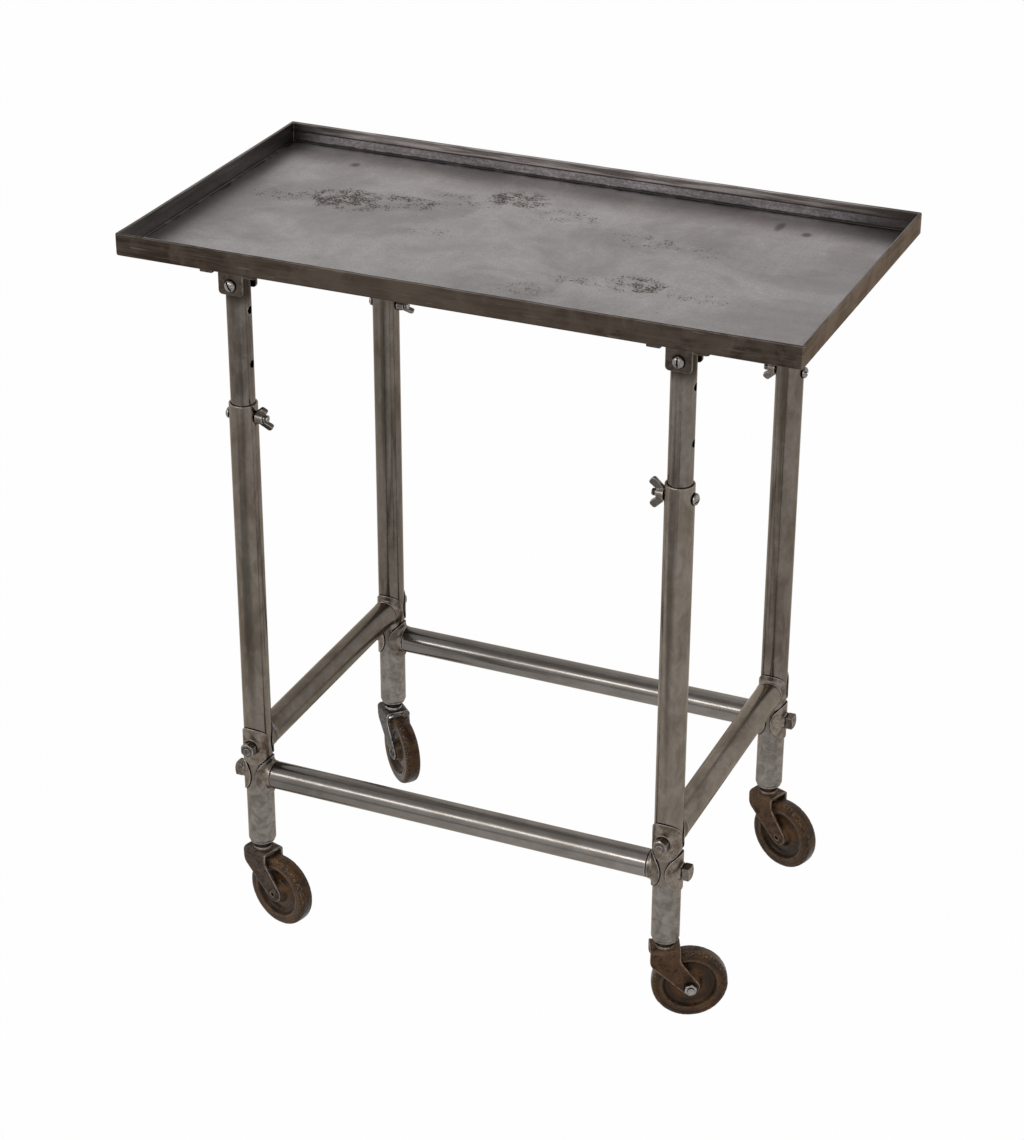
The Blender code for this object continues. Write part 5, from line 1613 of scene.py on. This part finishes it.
def wing_nut():
    base = LEG_RADIUS + SEAT_GAP
    hub = turned([(0, base), (HUB_FOOT, base), (HUB_TIP, base + HUB_HEIGHT), (0, base + HUB_HEIGHT)], 40)
    hub.transform(Z_TO_X)
    root = Vector((base + 0.001, WING_REACH - WING_HEIGHT + WING_WIDTH / math.sqrt(2)))
    outer = Vector((root.x + WING_REACH - root.y, WING_REACH))
    inner = outer + Vector((1, -1)).normalized() * WING_WIDTH
    foot = 0.005
    for side in (1, -1):
        outline = filleted([
            (root.x, side * root.y, 0.0),
            (outer.x, side * outer.y, WING_FILLET),
            (inner.x, side * inner.y, WING_FILLET),
            (base + HUB_HEIGHT, side * foot, 0.0),
            (root.x, side * foot, 0.0),
        ])
        hub = combined(hub, plate(outline, WING_THICKNESS, IN_XZ), "UNION")
    holder = on_bench(hub)
    cells = holder.modifiers.new("cells", "REMESH")
    cells.mode = "VOXEL"
    cells.voxel_size = CELL_SIZE
    ease = holder.modifiers.new("ease", "SMOOTH")
    ease.factor = 0.5
    ease.iterations = 9
    cast = off_bench(holder)
    cast = drilled(cast, PIN_RADIUS + 0.0004, (0, 0, 0), (base + 0.03, 0, 0))
    print("wing nut cast with", len(cast.polygons), "faces")
    return cast


casting = wing_nut()
for leg, (sx, sy) in LEGS.items():
    tilt = Matrix.Rotation(math.radians(WING_TURN[leg]), 4, "X")
    place = facing(leg, LOCK_HEIGHT, 0.0 if sx < 0 else math.pi) @ tilt
    nut = finished(moved(casting, place), 60.0)
    piece("wing_nut_cast_" + leg, nut, WING_STEEL, "wing_nut_" + leg, ["wing_nut_" + leg])

# %% [markdown]
# ## Casters
# Under each leg a socket holds the caster's stem. The fork is stamped from 3 mm plate: a flat top,
# two arms bent down that draw together towards the axle, and edges worn bright at the bends. The
# wheel is turned, with a dished web and a groove beside the tyre. Three wheels run on hollow rivets
# and the front right one on a bolt with a hex nut.

# %% Sockets in the legs
FORK_TOP = WHEEL_RADIUS + 0.0482
SOCKET_BOTTOM = FORK_TOP + 0.0062


def socket_mesh():
    sleeve, bore = LEG_RADIUS - 0.0024, 0.006
    top = LEG_BOTTOM + 0.045
    outline = filleted([
        (sleeve, top, 0.0005),
        (sleeve, LEG_BOTTOM - SEAT_GAP, 0.0),
        (0.0142, LEG_BOTTOM - SEAT_GAP, 0.0005),
        (0.0145, LEG_BOTTOM - 0.0024, 0.0008),
        (0.0112, SOCKET_BOTTOM, 0.0009),
        (bore, SOCKET_BOTTOM, 0.0003),
        (bore, top, 0.0003),
    ], 5)
    return turned(outline, 56, closed=True)


sockets = fasteners(socket_mesh(), [Matrix.Translation(at) for at in LEG_AT.values()], SOCKET_STEEL)
nodes = ["caster_socket_" + leg for leg in LEGS]
piece("caster_sockets", sockets, SOCKET_STEEL, "frame", nodes)

# %% Forks
TRAIL = 0.0285
FORK_SHEET, FORK_BEND = 0.003, 0.0047
FORK_INSIDE = 0.025
ARM_DRAW = 0.0014
AXLE_DROP = FORK_TOP - WHEEL_RADIUS
FORK_HALF = 0.017
ARM_END, ARM_FILLET = 0.0105, 0.014
FRONT_SHOULDER, REAR_SHOULDER = 0.0145, 0.019
STEM_RADIUS, BOSS_RADIUS, BOSS_TOP = 0.0055, 0.0104, 0.0058
FORK_BENDS = (170.0, 620.0)


def tangent_point(start, centre, radius, side):
    line = Vector(centre) - Vector(start)
    lean = side * math.asin(radius / line.length)
    direction = Matrix.Rotation(lean, 2) @ line.normalized()
    return Vector(start) + direction * math.sqrt(line.length**2 - radius**2)


def arm_outline():
    axle = Vector((TRAIL, -AXLE_DROP))
    front, rear = (FORK_HALF, -FRONT_SHOULDER), (-FORK_HALF, -REAR_SHOULDER)
    first = tangent_point(front, axle, ARM_END, 1) - axle
    last = tangent_point(rear, axle, ARM_END, -1) - axle
    sweep = first.angle_signed(last)
    steps = 18
    tip = [axle + Matrix.Rotation(-sweep * i / steps, 2) @ first for i in range(steps + 1)]
    corners = [(-FORK_HALF, 0.01, 0.0), (FORK_HALF, 0.01, 0.0), (*front, ARM_FILLET)]
    corners += [(point.x, point.y, 0.0) for point in tip]
    return filleted([*corners, (*rear, ARM_FILLET)], 10)


def fork_mesh():
    fork = channel(FORK_INSIDE, FORK_SHEET, FORK_BEND, AXLE_DROP + 0.02, -0.03, 0.06)
    fork = combined(fork, plate(arm_outline(), 0.1, IN_XZ), "INTERSECT")
    for vertex in fork.vertices:
        drop = max(0.0, -vertex.co.z - FORK_BEND) / (AXLE_DROP - FORK_BEND)
        vertex.co.y -= math.copysign(ARM_DRAW * drop, vertex.co.y)
    fork = softened(fork, 0.0006, 3, 35.0)
    foot = (BOSS_RADIUS, -0.001)
    boss = filleted([(0.0098, BOSS_TOP, 0.0008), (BOSS_RADIUS, 0.0028, 0.0), (*foot, 0.0)], 4)
    stem = [(0, 0.04), (0.0053, 0.0395), (STEM_RADIUS, 0.039), (STEM_RADIUS, BOSS_TOP)]
    stem += [*boss, (0, -0.001)]
    return refined(combined(fork, turned(stem, 48), "UNION"), 0.0035)


CASTER_AT = {}
for leg, at in LEG_AT.items():
    trail = middle("caster_wheel_" + leg) - at
    turn = Matrix.Rotation(math.atan2(trail.y, trail.x), 4, "Z")
    CASTER_AT[leg] = Matrix.Translation(at) @ turn
fork = fork_mesh()
for leg, at in CASTER_AT.items():
    mesh = finished(moved(fork, at @ up(FORK_TOP)), bends=FORK_BENDS)
    piece("fork_" + leg, mesh, FORK_FINISH[leg], "caster_" + leg, ["caster_fork_" + leg])

# %% Wheels
WHEEL_WIDTH, HUB_WIDTH = 0.02, 0.0222
WHEEL_SIDES = 180


def wheel_mesh():
    half = WHEEL_WIDTH / 2
    face = [
        (0.0043, HUB_WIDTH / 2, 0.0004),
        (0.0105, HUB_WIDTH / 2, 0.001),
        (0.0145, 0.0048, 0.003),
        (0.0268, 0.003, 0.004),
        (0.0303, 0.0094, 0.0018),
        (0.0328, 0.0096, 0.0012),
        (0.0337, 0.0086, 0.0006),
        (0.0346, 0.0096, 0.0014),
        (WHEEL_RADIUS - 0.0007, half - 0.0002, 0.0052),
        (WHEEL_RADIUS, 0.0, 0.03),
    ]
    back = [(radius, -height, fillet) for radius, height, fillet in face[-2::-1]]
    return turned(filleted(face + back, 6), WHEEL_SIDES, closed=True)


def crumbled(mesh):
    """Chips the tyre a little and notes "tread" and the distance from the axle as "out"."""
    tread, out = [], []
    for vertex in mesh.vertices:
        radius = math.hypot(vertex.co.x, vertex.co.y)
        share = min(1.0, max(0.0, (radius - 0.037) / 0.004))
        rise = abs(vertex.co.z) / (WHEEL_WIDTH / 2)
        tread.append(share * min(1.0, max(0.0, (rise - 0.3) / 0.3)))
        out.append(radius)
        chip = max(0.0, noise.noise(vertex.co * 520.0)) * 0.0007
        chip += max(0.0, noise.noise(vertex.co * 90.0)) * 0.0004
        shrink = 1.0 - share * chip / max(radius, 0.01)
        vertex.co = Vector((vertex.co.x * shrink, vertex.co.y * shrink, vertex.co.z))
    note(mesh, "tread", tread)
    note(mesh, "out", out)
    return mesh


wheel = moved(crumbled(wheel_mesh()), Z_TO_Y)
for leg, at in CASTER_AT.items():
    mesh = finished(moved(wheel, at @ Matrix.Translation((TRAIL, 0, WHEEL_RADIUS))))
    piece("wheel_tyred_" + leg, mesh, WHEEL_RUBBER, "wheel_" + leg, ["caster_wheel_" + leg])

# %% Axles
ARM_OUTSIDE = FORK_INSIDE / 2 + FORK_SHEET - ARM_DRAW


def rivet_axle():
    """A hollow rivet along Y, rolled over outside both arms."""
    seat, tip = ARM_OUTSIDE + 0.0001, ARM_OUTSIDE + 0.002
    half = [
        (0, tip - 0.0042),
        (0.0022, tip - 0.004),
        (0.0025, tip - 0.0006),
        (0.0029, tip - 0.0001),
        (0.0038, tip),
        (0.0049, tip - 0.0004),
        (0.0057, tip - 0.0012),
        (0.0059, seat),
        (0.00385, seat),
    ]
    return moved(turned(half + [(radius, -height) for radius, height in half[::-1]], 40), Z_TO_Y)


def bolt_axle():
    """A bolt along Y with its nut in front."""
    seat = ARM_OUTSIDE + 0.0001
    nut = moved(bar_head(SMALL_NUT_FLATS, 6, 0.0065, 0.0011, 0.35), up(seat))
    head = moved(bar_head(SMALL_NUT_FLATS, 6, 0.0055, 0.0011), up(seat))
    shank = rod(0.0036, -seat - 0.004, seat + 0.0082)
    return moved(together(nut, moved(head, UPSIDE_DOWN), shank), Z_TO_Y @ UPSIDE_DOWN)


rivet, bolt = rivet_axle(), bolt_axle()
for leg, at in CASTER_AT.items():
    bolted = leg == "fr"
    mesh = finished(moved(bolt if bolted else rivet, at @ Matrix.Translation((TRAIL, 0, WHEEL_RADIUS))))
    finish = SCREW_STEEL if bolted else FORK_FINISH[leg]
    piece("axle_" + leg, mesh, finish, "caster_" + leg, ["wheel_axle_" + leg])

# %% [markdown]
# ## Dirt and painted shade in the corners
# Dirt and old polish stay where a cloth can't reach: round washers, under nuts, in seams and slots.
# Shade falls in the same places, so the same paint stands for both. From every point a fan of short
# rays looks outwards. The more of them meet a surface close by, the deeper the point lies in a corner
# and the darker it is painted. A piece only looks at pieces of its own body, because dirt doesn't
# settle between surfaces that rub along each other.

# %% Paint dirt and shade on the points
START_GAP, NEAR_REACH, FAR_REACH = 0.00015, 0.004, 0.025
RAY_COUNT = 16


def fan(count):
    """Directions over the half sphere about +Z, densest round its top."""
    golden = math.pi * (3 - math.sqrt(5))
    rays = []
    for i in range(count):
        turn, flat = golden * i, math.sqrt((i + 0.5) / count)
        rays.append(Vector((flat * math.cos(turn), flat * math.sin(turn), math.sqrt(1 - flat * flat))))
    return rays


def paint_dirt_and_shade(meshes, rays):
    corners, triangles = [], []
    for mesh in meshes:
        start = len(corners)
        corners += [vertex.co.copy() for vertex in mesh.vertices]
        mesh.calc_loop_triangles()
        triangles += [[start + corner for corner in triangle.vertices] for triangle in mesh.loop_triangles]
    around = BVHTree.FromPolygons(corners, triangles)
    for mesh in meshes:
        near, far = [], []
        for vertex in mesh.vertices:
            turn = vertex.normal.to_track_quat("Z", "Y").to_matrix()
            start = vertex.co + vertex.normal * START_GAP
            close = wide = 0.0
            for ray in rays:
                distance = around.ray_cast(start, turn @ ray, FAR_REACH)[3]
                if distance is not None:
                    close += max(0.0, 1 - distance / NEAR_REACH)
                    wide += 1 - distance / FAR_REACH
            near.append(close / len(rays))
            far.append(wide / len(rays))
        note(mesh, "near", near)
        note(mesh, "far", far)


# Each body's points get dirt and painted shade.
for body, meshes in PIECES.items():
    paint_dirt_and_shade(meshes, fan(RAY_COUNT))
print("dirt painted on", sum(len(mesh.vertices) for meshes in PIECES.values() for mesh in meshes), "points")

# %% [markdown]
# ## Studio
# The table stood in a white studio. The floor and the surroundings are white for the camera, and the
# floor keeps a faint shadow. What the metal mirrors is not quite as white: the ceiling is greyer than
# the horizon, and in front of the table the floor has a grey strip on the left and two grey patches,
# which give the round legs their darker sides. Long soft light from high on the left draws the bright
# line along the stretchers.

# %% Floor
FLOOR_REACH = 9.0
WHITE, DIM = (1.0, 1.0, 1.0), (0.1, 0.1, 0.1)
# Grey patches on the floor: centre, how fast each fades, strength.
GREY_PATCHES = (((0.03, -1.58), (3.3, 2.6), 0.5), ((0.43, -1.58), (4.5, 2.6), 0.72))


def floor_mesh():
    middle_ring = circle(FLOOR_REACH * 0.5, 0.0, 96)
    return skin([[Vector((0, 0, 0))], middle_ring, circle(FLOOR_REACH, 0.0, 96)])


def floor_white():
    material, tree, place = new_material("studio_floor")
    path = add(tree, "ShaderNodeLightPath")
    mirrored = maths(tree, "MAXIMUM", path.outputs["Is Glossy Ray"], path.outputs["Is Transmission Ray"])
    seen = maths(tree, "MAXIMUM", path.outputs["Is Camera Ray"], mirrored)
    apart = axes(tree, place)
    x, y = apart["X"], apart["Y"]
    slanted = plus(tree, x, times(tree, plus(tree, y, 0.7), 0.3))
    strip = times(tree, spread(tree, y, -0.6, -0.8), spread(tree, y, -1.6, -1.4))
    ramp = times(tree, spread(tree, slanted, 0.38, -0.25), spread(tree, x, -1.1, -0.75))
    grey = times(tree, strip, times(tree, ramp, 0.58))
    for centre, fading, strength in GREY_PATCHES:
        spot = use(tree, SPOT, Place=place, Centre=(*centre, 0.0), Spread=(*fading, 0.0))[0]
        grey = maths(tree, "MAXIMUM", grey, times(tree, spot, strength))
    dimmed = blend(tree, grey, WHITE, DIM)
    level = blend(tree, mirrored, WHITE, dimmed)
    paper = add(tree, "ShaderNodeBsdfDiffuse", {"Color": (0.86, 0.86, 0.86, 1.0)})
    white = add(tree, "ShaderNodeEmission", {"Color": level, "Strength": 1.0})
    share = times(tree, seen, 0.99)
    surface = add(tree, "ShaderNodeMixShader", {0: share, 1: paper.outputs[0], 2: white.outputs[0]})
    add(tree, "ShaderNodeOutputMaterial", {"Surface": surface.outputs[0]})
    return material


floor = bpy.data.objects.new("studio_floor", floor_mesh())
floor.data.materials.append(floor_white())
bpy.context.scene.collection.objects.link(floor)
print("floor", FLOOR_REACH, "metres to each side")

# %% Surroundings
world = bpy.data.worlds.new("studio")
bpy.context.scene.world = world
world.use_nodes = True
tree = world.node_tree
tree.nodes.clear()
looking = add(tree, "ShaderNodeTexCoord").outputs["Generated"]
apart = axes(tree, looking)
colour = blend(tree, spread(tree, apart["Z"], 0.5, 0.9), (1.0, 1.0, 1.0), (0.66, 0.66, 0.67))
backdrop = add(tree, "ShaderNodeBackground", {"Color": colour, "Strength": 1.0})
add(tree, "ShaderNodeOutputWorld", {"Surface": backdrop.outputs[0]})
print("surroundings", world.name)

# %% [markdown]
# To a camera behind the table the tray would throw back the lamp's mirror image and burn out to
# white. In a studio a net between lamp and tray takes away more than half of the light there.
# Here two lamps stand close behind each other. The first lights everything. The second leaves the
# tray out by light linking, so the tray only gets the first one's light.

# %% Lamps
LAMP_AT = Vector((-1.05, -2.5, 1.85))
LAMP_AIM = Vector((-0.1, -0.1, 0.25))
LAMP_WIDTH, LAMP_HEIGHT = 3.2, 0.45
LAMP_STEP = 0.03
LONG_POWER, TUBE_POWER = 13.0, 19.0
beam = (LAMP_AIM - LAMP_AT).normalized()


def soft_lamp(name, at, power):
    data = bpy.data.lights.new(name, "AREA")
    data.shape = "RECTANGLE"
    data.size, data.size_y = LAMP_WIDTH, LAMP_HEIGHT
    data.energy = power
    lamp = bpy.data.objects.new(name, data)
    lamp.location = at
    lamp.rotation_euler = beam.to_track_quat("-Z", "Y").to_euler()
    bpy.context.scene.collection.objects.link(lamp)
    return lamp


soft_lamp("long_lamp", LAMP_AT, LONG_POWER)
tube_lamp = soft_lamp("tube_lamp", LAMP_AT - beam * LAMP_STEP, TUBE_POWER)
left_out = bpy.data.collections.new("left_out_by_tube_lamp")
left_out.objects.link(bpy.data.objects["tray_pan"])
left_out.collection_objects[0].light_linking.link_state = "EXCLUDE"
tube_lamp.light_linking.receiver_collection = left_out
print("two long soft lamps")

# %% [markdown]
# ## Camera
# The camera stands where the photograph was taken: a little above the table, to its front right,
# with a long lens. Its place and angles come from matching the table's edges in the picture.

# %% Camera at the photograph's viewpoint
CAMERA_AT = Vector((1.1192, -2.6178, 1.8959))
YAW, PITCH, ROLL = -0.4076, 0.4779, 0.0031
FOCAL_LENGTH = 89.37

across = Vector((math.cos(YAW), -math.sin(YAW), 0.0))
ahead = Vector((math.sin(YAW) * math.cos(PITCH), math.cos(YAW) * math.cos(PITCH), -math.sin(PITCH)))
upward = across.cross(ahead)
right = across * math.cos(ROLL) + upward * math.sin(ROLL)
top = upward * math.cos(ROLL) - across * math.sin(ROLL)
lens = bpy.data.cameras.new("viewpoint")
lens.lens = FOCAL_LENGTH
lens.sensor_width = 36.0
lens.clip_end = 60.0
camera = bpy.data.objects.new("viewpoint", lens)
camera.matrix_world = Matrix.Translation(CAMERA_AT) @ Matrix((right, top, -ahead)).transposed().to_4x4()
bpy.context.scene.collection.objects.link(camera)
bpy.context.scene.camera = camera
bpy.context.scene.view_settings.view_transform = "Standard"
print("camera", [round(value, 3) for value in CAMERA_AT])

# %% [markdown]
# ## Last step
# The view layer is brought up to date once more.

# %% Update the view layer
bpy.context.view_layer.update()
